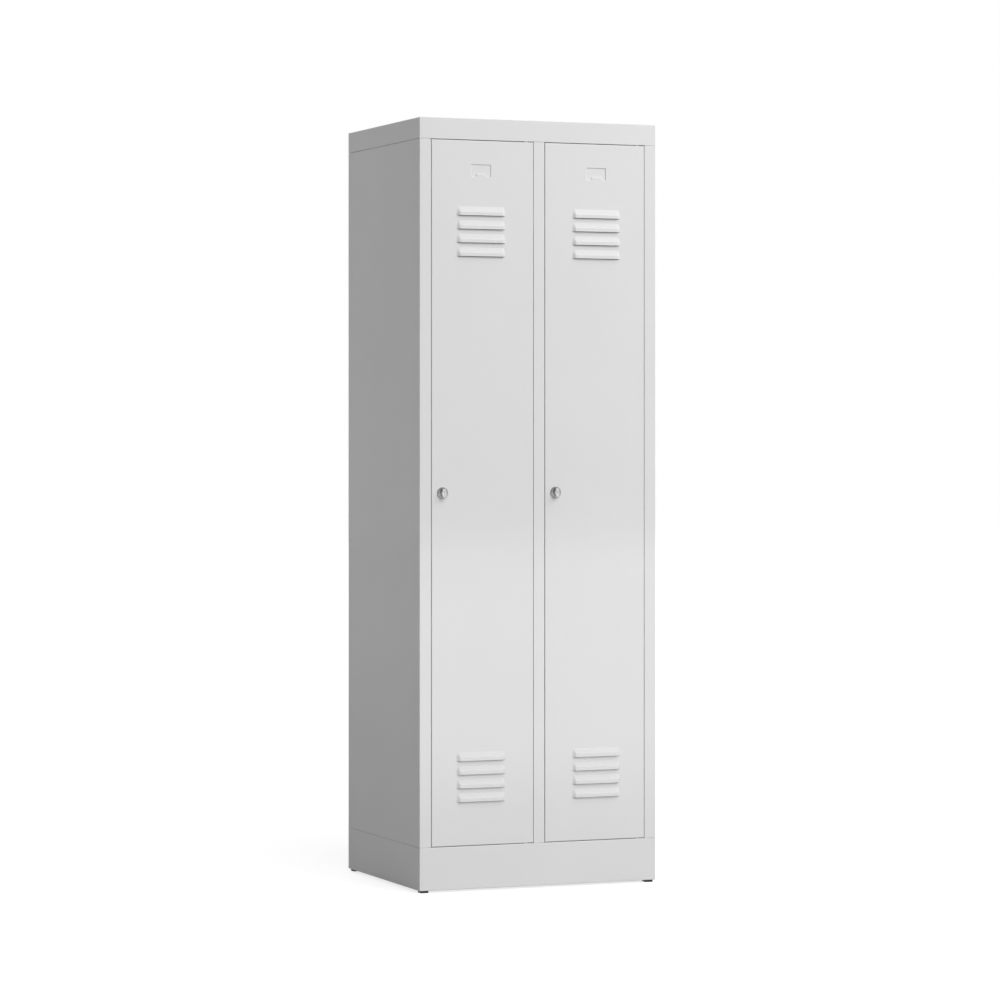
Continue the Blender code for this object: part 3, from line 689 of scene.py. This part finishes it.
label = {"drop": 0.0552, "width": 0.0515, "height": 0.030, "leftBay": 0.01525,
         "tabWidth": 0.024, "tabHeight": 0.007, "depth": 0.002, "corner": 0.0022, "cornerSteps": 6,
         "rim": 0.0009, "base": 0.0004, "rimSteps": 4}


def labelRecess():
    # a shallow pressing with a tab left standing on its lower edge
    halfWidth, halfHeight = label["width"] / 2, label["height"] / 2
    tabLeft = label["leftBay"] - halfWidth
    tabRight = tabLeft + label["tabWidth"]
    tabTop = label["tabHeight"] - halfHeight
    recess = plate("labelRecess", label["width"], label["height"])
    edit(recess)
    for point, normal in (((tabLeft, 0, 0), (1, 0, 0)), ((tabRight, 0, 0), (1, 0, 0)),
                          ((0, tabTop, 0), (0, 1, 0))):
        bpy.ops.mesh.select_all(action="SELECT")
        bpy.ops.mesh.bisect(plane_co=point, plane_no=normal)
    pick(recess, "FACE", lambda f: tabLeft < middle(f).x < tabRight and middle(f).y < tabTop)
    bpy.ops.mesh.delete(type="FACE")
    bpy.ops.mesh.select_all(action="SELECT")
    bpy.ops.mesh.dissolve_faces()
    corners = [(x, y) for x in (-halfWidth, halfWidth) for y in (-halfHeight, halfHeight)]
    corners += [(x, y) for x in (tabLeft, tabRight) for y in (-halfHeight, tabTop)]
    pick(recess, "VERT", lambda v: any(near(v.co.x, x) and near(v.co.y, y) for x, y in corners))
    bpy.ops.mesh.bevel(offset=label["corner"], segments=label["cornerSteps"], affect="VERTICES")
    rim, base, depth = label["rim"], label["base"], label["depth"]
    turns = [pi / 2 * step / label["rimSteps"] for step in range(label["rimSteps"] + 1)]
    profile = [(rim * sin(turn), -rim * (1 - cos(turn))) for turn in turns]
    profile += [(rim + base * (1 - cos(turn)), base * (1 - sin(turn)) - depth) for turn in turns]
    pick(recess, "FACE", lambda f: True)
    insetAlong(profile)
    standUp(recess)
    return recess


door = {"depth": 0.018, "lip": 0.012, "lockHole": 0.0093, "pinHole": 0.0023,
        "leftShift": -0.0041, "rightShift": 0.0034, "hingeReach": 0.0004, "flatAt": 0.03}
hoodShape = louvreHood()
recessShape = labelRecess()


def doorSkin(side, shift):
    node = f"{side}_door_panel"
    low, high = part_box(node)
    low.y, high.y = frontY, frontY + door["depth"]
    centreX = (low.x + high.x) / 2 + shift
    high.x += door["hingeReach"]  # a narrower gap on the hinge side
    skin = foldedTray(f"{side}DoorSkin", low, high, door["lip"], (0, 1, 0))
    edit(skin)
    pick(skin, "FACE", facing((0, -1, 0)))
    bpy.ops.mesh.delete(type="ONLY_FACE")
    objectMode()
    pressings = []
    for row in range(louvre["count"]):
        for lip in (high.z - louvre["topDrop"] - row * louvre["pitch"],
                    low.z + louvre["bottomRise"] + row * louvre["pitch"]):
            pressings.append(copyTo(hoodShape, "hood", (centreX, frontY, lip)))
    labelZ = high.z - label["drop"] - label["height"] / 2
    pressings.append(copyTo(recessShape, "recess", (centreX, frontY, labelZ)))
    joinTo(skin, pressings)
    edit(skin)
    bpy.ops.mesh.remove_doubles(threshold=tinyGap)
    pick(skin, "EDGE", lambda e: allAt(1, frontY)(e) and len(e.link_faces) < 2)
    bpy.ops.mesh.fill(use_beauty=True)  # the flat sheet between the pressings
    outwards(skin, (low.x + door["flatAt"], frontY, (low.z + high.z) / 2), (0, -1, 0))
    thicken(skin)
    pin = pivots[0] if side == "left" else pivots[1]
    for level in (low.z, high.z):
        drill(skin, (pin.x, pin.y, level), door["pinHole"], sheetDrill)
    lockAt = centreOf(f"{side}_lock_housing")
    drill(skin, (lockAt.x, frontY, lockAt.z), door["lockHole"], sheetDrill, (pi / 2, 0, 0))
    finishPiece(skin, f"{side}_door", outerPaint, [node])


doorSkin("left", door["leftShift"])
doorSkin("right", door["rightShift"])
bpy.data.objects.remove(hoodShape)
bpy.data.objects.remove(recessShape)
print("door skins made")


# locks, drawn about the lock's axis with z out of the door, then stood up

lock = {"barrel": 0.009, "bore": 0.0063, "barrelEnd": -0.0217, "threadPitch": 0.001,
        "threadDepth": 0.0003, "threads": 15, "threadFrom": -0.0210, "rose": 0.0132,
        "roseBack": 0.0003, "roseFront": 0.0033, "roseEdge": 0.0012, "roseSteps": 6,
        "break": 0.0003}
knob = {"disc": 0.0112, "discBack": 0.0036, "discFront": 0.0052, "discEdge": 0.0005, "discSteps": 4,
        "dish": 0.0003, "dishRim": 0.0098, "spindle": 0.006, "screwHole": 0.0025,
        "screwHoleEnd": -0.0154}
grip = {"half": 0.01075, "waist": 0.0035, "swell": 0.0025, "front": 0.0137, "back": 0.0039,
        "edge": 0.001, "edgeSteps": 4, "cuts": 15}
plug = {"radius": 0.0034, "back": 0.0077, "edge": 0.0003, "edgeSteps": 3, "pocket": 0.0037,
        "pocketBack": 0.0074, "keyway": (0.0011, 0.0048, 0.004)}
nut = {"corner": 0.01386, "bore": 0.0093, "back": -0.0051, "front": -0.0011, "chamfer": 0.0007}
cam = {"half": 0.007, "endRound": 0.00698, "endSteps": 12, "reach": 0.023, "back": -0.0245,
       "front": -0.022, "corner": 0.0015, "cornerSteps": 4, "edge": 0.0003, "edgeSteps": 2,
       "hole": 0.0025}
screw = {"head": 0.0045, "top": -0.0272, "seat": -0.0248, "dome": 0.0014, "shank": 0.0022,
         "end": -0.016, "cross": (0.0009, 0.0040, 0.0012)}
domeTurns = range(0, 91, 15)  # degrees over a screw's head
screwSides = 48


def roseShape():
    edge, front = lock["roseEdge"], lock["roseFront"]
    profile = [(lock["bore"], lock["barrelEnd"]),
               (lock["barrel"] - lock["break"], lock["barrelEnd"])]
    for turn in range(lock["threads"]):
        low = lock["threadFrom"] + turn * lock["threadPitch"]
        profile += [(lock["barrel"] - lock["threadDepth"], low),
                    (lock["barrel"], low + lock["threadPitch"] / 2)]
    profile += [(lock["barrel"], lock["roseBack"]), (lock["rose"], lock["roseBack"])]
    profile += arcPoints((lock["rose"] - edge, front - edge), edge, 0, 90, lock["roseSteps"])
    profile += [(lock["bore"] + lock["break"], front), (lock["bore"], front - lock["break"])]
    return turned("lockRose", profile + profile[:1])


def gripShape():
    half, wide = grip["half"], grip["waist"] + grip["swell"]
    bar = block("grip", (-wide, -half, grip["back"]), (wide, half, grip["front"]))
    edit(bar)
    pick(bar, "EDGE", lambda e: span(e, 1) > half)
    bpy.ops.mesh.subdivide(number_cuts=grip["cuts"])
    for row in range(grip["cuts"] + 2):  # swollen in the middle round the key plug
        level = half * (2 * row / (grip["cuts"] + 1) - 1)
        width = grip["waist"] + grip["swell"] * cos(pi / 2 * level / half) ** 2
        pick(bar, "VERT", lambda v: near(v.co.y, level))
        bpy.ops.transform.resize(value=(width / wide, 1, 1), center_override=(0, level, 0))
    tall = (grip["front"] - grip["back"]) / 2
    pick(bar, "EDGE", lambda e: (allAt(2, grip["front"])(e) and meetsWall(e))
         or (span(e, 2) > tall and near(abs(middle(e).y), half)))
    roundEdges(grip["edge"], grip["edgeSteps"])
    objectMode()
    return bar


def knobShape():
    edge, front, end = knob["discEdge"], knob["discFront"], lock["barrelEnd"]
    floorZ = front - knob["dish"]
    profile = [(0, knob["screwHoleEnd"]), (knob["screwHole"], knob["screwHoleEnd"]),
               (knob["screwHole"], end), (knob["spindle"] - lock["break"], end),
               (knob["spindle"], end + lock["break"]), (knob["spindle"], knob["discBack"]),
               (knob["disc"], knob["discBack"])]
    profile += arcPoints((knob["disc"] - edge, front - edge), edge, 0, 90, knob["discSteps"])
    profile += [(knob["dishRim"], front), (knob["dishRim"] - knob["dish"], floorZ), (0, floorZ)]
    piece = turned("lockKnob", profile)
    merge(piece, gripShape(), "UNION")
    depth = grip["front"] - plug["pocketBack"]
    drill(piece, (0, 0, plug["pocketBack"] + depth), plug["pocket"], 2 * depth)
    return piece


def plugShape():
    edge, front = plug["edge"], grip["front"]
    profile = [(0, plug["back"]), (plug["radius"], plug["back"])]
    profile += arcPoints((plug["radius"] - edge, front - edge), edge, 0, 90, plug["edgeSteps"])
    piece = turned("keyPlug", profile + [(0, front)])
    width, length, depth = plug["keyway"]
    keyway = block("keyway", (-width / 2, -length / 2, front - depth),
                   (width / 2, length / 2, front + depth))
    merge(piece, keyway, "DIFFERENCE")
    return piece


def nutShape():
    centre = (0, 0, (nut["back"] + nut["front"]) / 2)
    height = nut["front"] - nut["back"]
    piece = roundBar("lockNut", centre, nut["corner"], height, (0, 0, pi / 2), sides=6)
    slant = nut["chamfer"]
    inner, outer = nut["corner"] * cos(pi / 6) - slant, nut["corner"] + slant
    profile = [(0, nut["back"] - slant), (inner, nut["back"] - slant), (outer, nut["back"] + slant),
               (outer, nut["front"] - slant), (inner, nut["front"] + slant),
               (0, nut["front"] + slant)]
    merge(piece, turned("chamfer", profile), "INTERSECT")
    drill(piece, centre, nut["bore"], lockDrill)
    return piece


def camShape():
    half = cam["half"]
    piece = block("lockCam", (-half, -cam["reach"], cam["back"]), (half, half, cam["front"]))
    edit(piece)
    pick(piece, "EDGE", lambda e: near(span(e, 0), 0) and allAt(1, half)(e))
    roundEdges(cam["endRound"], cam["endSteps"])
    pick(piece, "EDGE", lambda e: near(span(e, 0), 0) and allAt(1, -cam["reach"])(e))
    roundEdges(cam["corner"], cam["cornerSteps"])
    pick(piece, "EDGE", lambda e: (allAt(2, cam["back"])(e) or allAt(2, cam["front"])(e))
         and meetsWall(e))
    roundEdges(cam["edge"], cam["edgeSteps"])
    objectMode()
    drill(piece, (0, 0, (cam["back"] + cam["front"]) / 2), cam["hole"], lockDrill)
    return piece


def screwShape(size):
    # a domed head with a cross recess
    profile = [(size["head"] * sin(radians(turn)),
                size["top"] + size["dome"] * (1 - cos(radians(turn)))) for turn in domeTurns]
    profile += [(size["head"], size["seat"]), (size["shank"], size["seat"]),
                (size["shank"], size["end"]), (0, size["end"])]
    piece = turned("screw", profile, sides=screwSides)
    width, length, depth = size["cross"]
    for across, along in ((width, length), (length, width)):
        cross = block("cross", (-across / 2, -along / 2, size["top"] - depth),
                      (across / 2, along / 2, size["top"] + depth))
        merge(piece, cross, "DIFFERENCE")
    return piece


lockPieces = [  # shape, name, body, finish, slot and the node it stands for
    (roseShape(), "LockRose", "door", lockChrome, "lock_chrome", "lock_housing"),
    (nutShape(), "LockNut", "door", zincSteel, "zinc_steel", "lock_nut"),
    (knobShape(), "LockKnob", "lock", lockChrome, "lock_chrome", "lock_knob"),
    (camShape(), "LockCam", "lock", zincSteel, "zinc_steel", "lock_cam"),
    (screwShape(screw), "CamScrew", "lock", zincSteel, "zinc_steel", "cam_screw"),
    (plugShape(), "KeyPlug", "key_plug", zincSteel, "zinc_steel", "key_plug"),
]
for shape, name, body, material, slotName, node in lockPieces:
    standUp(shape)
    for side in ("left", "right"):
        centre = centreOf(f"{side}_lock_housing")
        piece = copyTo(shape, side + name, (centre.x, frontY, centre.z))
        finishPiece(piece, f"{side}_{body}", material, [f"{side}_{node}"])
    bpy.data.objects.remove(shape)
print("locks made")


# pivots and buffers

doorPin = {"radius": 0.002, "head": 0.0032, "headHeight": 0.002, "round": 0.0006, "roundSteps": 4,
           "length": 0.0089, "point": 0.0005}
bush = {"bore": 0.0023, "radius": 0.0032, "collar": 0.0042, "collarHeight": 0.0007,
        "length": 0.005, "edge": 0.0003, "edgeSteps": 3}
buffer = {"radius": 0.004, "height": 0.002, "round": 0.0007, "roundSteps": 4}
smallSides = 32


def pinShape():
    rounding, head, end = doorPin["round"], doorPin["head"], doorPin["length"]
    profile = [(0, 0)]
    profile += arcPoints((head - rounding, rounding), rounding, -90, 0, doorPin["roundSteps"])
    profile += [(head, doorPin["headHeight"]), (doorPin["radius"], doorPin["headHeight"]),
                (doorPin["radius"], end - doorPin["point"]),
                (doorPin["radius"] - doorPin["point"], end), (0, end)]
    return turned("pin", profile, sides=smallSides)


def bushShape():
    edge, end = bush["edge"], bush["length"]
    profile = [(bush["bore"], 0)]
    profile += arcPoints((bush["collar"] - edge, edge), edge, -90, 0, bush["edgeSteps"])
    profile += [(bush["collar"], bush["collarHeight"]), (bush["radius"], bush["collarHeight"]),
                (bush["radius"], end - edge), (bush["radius"] - edge, end),
                (bush["bore"] + edge, end), (bush["bore"], end - edge), (bush["bore"], 0)]
    return turned("bush", profile, sides=smallSides)


def bufferShape():
    rounding, top = buffer["round"], buffer["height"]
    profile = [(0, 0), (buffer["radius"], 0)]
    profile += arcPoints((buffer["radius"] - rounding, top - rounding), rounding, 0, 90,
                         buffer["roundSteps"])
    return turned("buffer", profile + [(0, top)], sides=smallSides)


smallPieces = [
    (pinShape(), "pin", "Pin", "door", zincSteel, "zinc_steel"),
    (bushShape(), "bush", "Bush", None, whiteNylon, "white_nylon"),
    (bufferShape(), "buffer", "Buffer", None, greyRubber, "grey_rubber"),
]
for shape, kind, name, body, material, slotName in smallPieces:
    for side in ("left", "right"):
        for end in ("lower", "upper"):
            node = f"{side}_door_{end}_{kind}"
            low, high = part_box(node)
            centre = (low + high) / 2
            if kind == "buffer":
                place, turn = (centre.x, high.y, centre.z), (pi / 2, 0, 0)
            elif end == "upper":
                place, turn = (centre.x, centre.y, low.z), (0, 0, 0)
            else:
                place, turn = (centre.x, centre.y, high.z), (pi, 0, 0)
            piece = copyTo(shape, f"{side}{end.title()}{name}", place, turn)
            finishPiece(piece, f"{side}_{body}" if body else "cabinet", material, [node])
    bpy.data.objects.remove(shape)
print("pivots and buffers made")


# inside: shelves, partition, stiffeners, rails and hooks

inside = {"shelfHem": 0.010, "crown": 0.017, "flange": 0.031, "stiffenerDepth": 0.010,
          "webX": -0.0004, "frontFlange": 0.011, "backFlange": 0.015, "foldStep": 0.0008,
          "notchY": 0.22655, "notchMargin": 0.1}

for side in ("left", "right"):
    low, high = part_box(f"{side}_hat_shelf")
    shelf = foldedTray(f"{side}Shelf", low, high, inside["shelfHem"], (0, 0, -1))
    outwards(shelf, ((low.x + high.x) / 2, middleY, high.z), (0, 0, 1))
    thicken(shelf)
    finishPiece(shelf, "cabinet", innerPaint, [f"{side}_hat_shelf"])

    low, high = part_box(f"{side}_door_stiffener")
    centreX, rearY = (low.x + high.x) / 2, low.y + inside["stiffenerDepth"]
    line = [(centreX - inside["flange"], low.y), (centreX - inside["crown"], low.y),
            (centreX - inside["crown"], rearY), (centreX + inside["crown"], rearY),
            (centreX + inside["crown"], low.y), (centreX + inside["flange"], low.y)]
    channel = foldedSheet(f"{side}Stiffener", line, low.z, high.z)
    thicken(channel)
    finishPiece(channel, f"{side}_door", innerPaint, [f"{side}_door_stiffener"])

low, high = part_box("centre_partition")
webFront = low.y + inside["foldStep"]
line = [(inside["webX"] + inside["backFlange"], high.y), (inside["webX"], high.y),
        (inside["webX"], webFront), (inside["webX"] - inside["frontFlange"], webFront)]
partition = foldedSheet("partition", line, low.z, high.z)
thicken(partition)
margin = inside["notchMargin"]
notch = block("notch", (-margin, inside["notchY"], panelHigh),
              (margin, high.y + margin, high.z + margin))
merge(partition, notch, "DIFFERENCE")
finishPiece(partition, "cabinet", innerPaint, ["centre_partition"])
print("shelves, partition and stiffeners made")

rail = {"radius": 0.009, "bore": 0.0078, "edge": 0.0003}
socket = {"flange": 0.017, "flangeHeight": 0.002, "cup": 0.0118, "bore": 0.0093, "depth": 0.010,
          "edge": 0.0006, "edgeSteps": 4, "fillet": 0.001, "filletSteps": 5, "screwCircle": 0.0144}
socketScrew = {"head": 0.0019, "top": 0.0032, "seat": 0.0020, "dome": -0.0008, "shank": 0.0010,
               "end": 0.0012, "cross": (0.0005, 0.0020, 0.0007)}
hook = {"ring": 0.0128, "bore": 0.0093, "thickness": 0.010, "arm": 0.007, "edge": 0.0012,
        "edgeSteps": 4, "stemTop": -0.0105, "stemEnd": -0.0288, "bend": 0.012, "bendSteps": 16,
        "tip": 0.010, "tipSteps": 6, "tipTurn": 84}


def railShape(half):
    edge = rail["edge"]
    profile = []
    for end in (-half, half):
        step = edge if end < 0 else -edge
        ring = [(rail["bore"], end + step), (rail["bore"] + edge, end),
                (rail["radius"] - edge, end), (rail["radius"], end + step)]
        profile += ring if end < 0 else ring[::-1]
    return turned("rail", profile + profile[:1])


def socketShape():
    edge, fillet, top = socket["edge"], socket["fillet"], socket["flangeHeight"]
    edgeSteps, filletSteps = socket["edgeSteps"], socket["filletSteps"]
    profile = [(0, 0), (socket["flange"], 0)]
    profile += arcPoints((socket["flange"] - edge, top - edge), edge, 0, 90, edgeSteps)
    profile += arcPoints((socket["cup"] + fillet, top + fillet), fillet, 270, 180, filletSteps)
    profile += arcPoints((socket["cup"] - edge, socket["depth"] - edge), edge, 0, 90, edgeSteps)
    profile += [(socket["bore"] + edge, socket["depth"]), (socket["bore"], socket["depth"] - edge),
                (socket["bore"], top), (0, top)]
    return turned("socket", profile)


def hookShape():
    half, edge, steps = hook["thickness"] / 2, hook["edge"], hook["edgeSteps"]
    profile = [(hook["bore"] + edge / 2, -half)]
    profile += arcPoints((hook["ring"] - edge, edge - half), edge, -90, 0, steps)
    profile += arcPoints((hook["ring"] - edge, half - edge), edge, 0, 90, steps)
    profile += [(hook["bore"] + edge / 2, half), (hook["bore"], half - edge / 2),
                (hook["bore"], edge / 2 - half)]
    piece = turned("coatHook", profile + profile[:1], turn=(0, pi / 2, 0))
    arm = plate("hookArm", hook["thickness"], hook["arm"], (0, 0, hook["stemTop"]))
    edit(arm, "VERT")
    bpy.ops.mesh.bevel(offset=edge, segments=steps, affect="VERTICES")
    pick(arm, "FACE", lambda f: True)
    push((0, 0, hook["stemEnd"] - hook["stemTop"]))
    bpy.ops.mesh.spin(steps=hook["bendSteps"], angle=pi,
                      center=(0, -hook["bend"], hook["stemEnd"]), axis=(1, 0, 0))
    push((0, 0, hook["tip"]))
    tipY, tipZ, radius = -2 * hook["bend"], hook["stemEnd"] + hook["tip"], hook["arm"] / 2
    wasUp, wasWide = 0, 1
    for step in range(1, hook["tipSteps"] + 1):  # a round end
        turn = radians(hook["tipTurn"]) * step / hook["tipSteps"]
        push((0, 0, radius * (sin(turn) - wasUp)))
        wasUp = sin(turn)
        bpy.ops.transform.resize(value=(1, cos(turn) / wasWide, 1),
                                 center_override=(0, tipY, tipZ + radius * wasUp))
        wasWide = cos(turn)
    bpy.ops.mesh.select_all(action="SELECT")
    bpy.ops.mesh.normals_make_consistent(inside=False)
    objectMode()
    merge(piece, arm, "UNION")
    return piece


socketForm, screwForm, hookForm = socketShape(), screwShape(socketScrew), hookShape()
for side in ("left", "right"):
    low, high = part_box(f"{side}_hanging_rail")
    railZ = (low.z + high.z) / 2
    tube = railShape((high.x - low.x) / 2)
    tube.location, tube.rotation_euler = ((low.x + high.x) / 2, middleY, railZ), (0, pi / 2, 0)
    settle(tube)
    tube.name = tube.data.name = f"{side}Rail"
    finishPiece(tube, "cabinet", zincSteel, [f"{side}_hanging_rail"])
    for end, turn in (("left", pi / 2), ("right", -pi / 2)):
        node = f"{side}_rail_{end}_socket"
        low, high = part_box(node)
        place = Vector((low.x if end == "left" else high.x, middleY, railZ))
        name = f"{side}Rail{end.title()}Socket"
        cup = copyTo(socketForm, name, place, (0, turn, 0))
        finishPiece(cup, "cabinet", blackPlastic, [node])
        upper, lower = (
            copyTo(screwForm, name + "Screws", place + Vector((0, 0, reach)), (0, turn, 0))
            for reach in (socket["screwCircle"], -socket["screwCircle"])
        )
        joinTo(upper, [lower])
        finishPiece(upper, "cabinet", zincSteel)
    for number in (1, 2):
        node = f"{side}_coat_hook_{number}"
        place = (centreOf(node).x, middleY, railZ)
        piece = copyTo(hookForm, f"{side}CoatHook{number}", place)
        finishPiece(piece, node, blackPlastic, [node])
for form in (socketForm, screwForm, hookForm):
    bpy.data.objects.remove(form)
print("rails and hooks made")


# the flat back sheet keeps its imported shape

packedBack = frame["nodes"]["back_panel"]
packedBack.data.materials.clear()
packedBack.data.materials.append(outerPaint)


# floor, light and camera

studio = {"ambient": 0.05, "floorSize": 54, "floorDrop": 0.0003, "floorGrey": 0.38,
          "floorWhite": 0.35, "floorGlow": 0.53, "cameraGlow": 0.24,
          "farGlow": 1.47, "farFrom": -0.5, "farTo": -4.5,
          "behindGlow": 0.11, "behindFrom": 1.5, "behindTo": 11, "lampAway": 6, "lampAim": 0.9}
lamps = {  # by bearing from the front and height, in degrees
    "key": {"from": (9, 27), "spread": 50, "strength": 1.85},
    "overhead": {"from": (25, 64), "spread": 60, "strength": 1.05},
    "back": {"from": (176, 36), "spread": 40, "strength": 1.3},
    "softbox": {"from": (48, 36), "away": 2.6, "size": 1.4, "strength": 15.0},
}


def seenRays(tree):
    # 1 for what the camera, a reflection or a clear material looks at
    path = tree.nodes.new("ShaderNodeLightPath")
    best = path.outputs["Is Camera Ray"]
    for name in ("Is Glossy Ray", "Is Transmission Ray"):
        larger = tree.nodes.new("ShaderNodeMath")
        larger.operation = "MAXIMUM"
        tree.links.new(best, larger.inputs[0])
        tree.links.new(path.outputs[name], larger.inputs[1])
        best = larger.outputs[0]
    return best


def chooseBySight(tree, unseen, seen, kind):
    choice = tree.nodes.new("ShaderNodeMixShader")
    output = tree.nodes.new(kind)
    tree.links.new(seenRays(tree), choice.inputs[0])
    tree.links.new(unseen.outputs[0], choice.inputs[1])
    tree.links.new(seen.outputs[0], choice.inputs[2])
    tree.links.new(choice.outputs[0], output.inputs["Surface"])


world = bpy.data.worlds.new("studio")
scene.world = world
world.use_nodes = True
tree = world.node_tree
tree.nodes.clear()
ambient = tree.nodes.new("ShaderNodeBackground")
ambient.inputs["Strength"].default_value = studio["ambient"]
ambient.inputs["Color"].default_value = (1, 1, 1, 1)
white = tree.nodes.new("ShaderNodeBackground")
white.inputs["Color"].default_value = (1, 1, 1, 1)
chooseBySight(tree, ambient, white, "ShaderNodeOutputWorld")

floor = plate("floor", studio["floorSize"], studio["floorSize"], (0, 0, -studio["floorDrop"]))
floorPaint = bpy.data.materials.new("floorPaint")
floorPaint.use_nodes = True
tree = floorPaint.node_tree
tree.nodes.clear()
dull = tree.nodes.new("ShaderNodeBsdfDiffuse")
dull.inputs["Color"].default_value = (studio["floorGrey"],) * 3 + (1,)
bright = tree.nodes.new("ShaderNodeBsdfDiffuse")
bright.inputs["Color"].default_value = (studio["floorWhite"],) * 3 + (1,)
depth = placeY(tree)
path = tree.nodes.new("ShaderNodeLightPath")
start = tree.nodes.new("ShaderNodeMath")
start.operation = "MULTIPLY_ADD"  # a little more where the camera sees the floor itself
start.inputs[1].default_value = studio["cameraGlow"]
start.inputs[2].default_value = studio["floorGlow"]
tree.links.new(path.outputs["Is Camera Ray"], start.inputs[0])
strength = start.outputs[0]
for part in ("far", "behind"):  # and brighter far off, as the gloss of the doors and side shows
    reach = (studio[part + "From"], studio[part + "To"])
    rise = mapRange(tree, depth, reach, (0, studio[part + "Glow"]), smooth=True)
    total = tree.nodes.new("ShaderNodeMath")
    tree.links.new(strength, total.inputs[0])
    tree.links.new(rise, total.inputs[1])
    strength = total.outputs[0]
glow = tree.nodes.new("ShaderNodeEmission")
tree.links.new(strength, glow.inputs["Strength"])
lit = tree.nodes.new("ShaderNodeAddShader")
tree.links.new(bright.outputs[0], lit.inputs[0])
tree.links.new(glow.outputs[0], lit.inputs[1])
chooseBySight(tree, dull, lit, "ShaderNodeOutputMaterial")
floor.data.materials.append(floorPaint)

for name, setting in lamps.items():
    bearing, height = (radians(angle) for angle in setting["from"])
    lamp = bpy.data.lights.new(name + "Light", "AREA" if "size" in setting else "SUN")
    lamp.energy = setting["strength"]
    if "size" in setting:
        lamp.size = setting["size"]
    else:
        lamp.angle = radians(setting["spread"])
    holder = bpy.data.objects.new(name + "Light", lamp)
    scene.collection.objects.link(holder)
    source = Vector((sin(bearing) * cos(height), -cos(bearing) * cos(height), sin(height)))
    holder.visible_glossy = False  # the gloss shows the white studio, not the lamps
    away = setting.get("away", studio["lampAway"])
    holder.location = source * away + Vector((0, 0, studio["lampAim"]))
    holder.rotation_euler = (-source).to_track_quat("-Z", "Y").to_euler()

view = {"place": (-3.2832, -8.0996, 1.0516), "turn": 22.05, "lens": 130.64, "sensor": 36,
        "shiftY": -0.06025}
lens = bpy.data.cameras.new("photoCamera")
lens.sensor_width = view["sensor"]
lens.lens = view["lens"]
lens.shift_y = view["shiftY"]
camera = bpy.data.objects.new("photoCamera", lens)
scene.collection.objects.link(camera)
camera.location = view["place"]
camera.rotation_euler = (pi / 2, 0, -radians(view["turn"]))
scene.camera = camera
scene.view_settings.view_transform = "Standard"
print("studio set up")
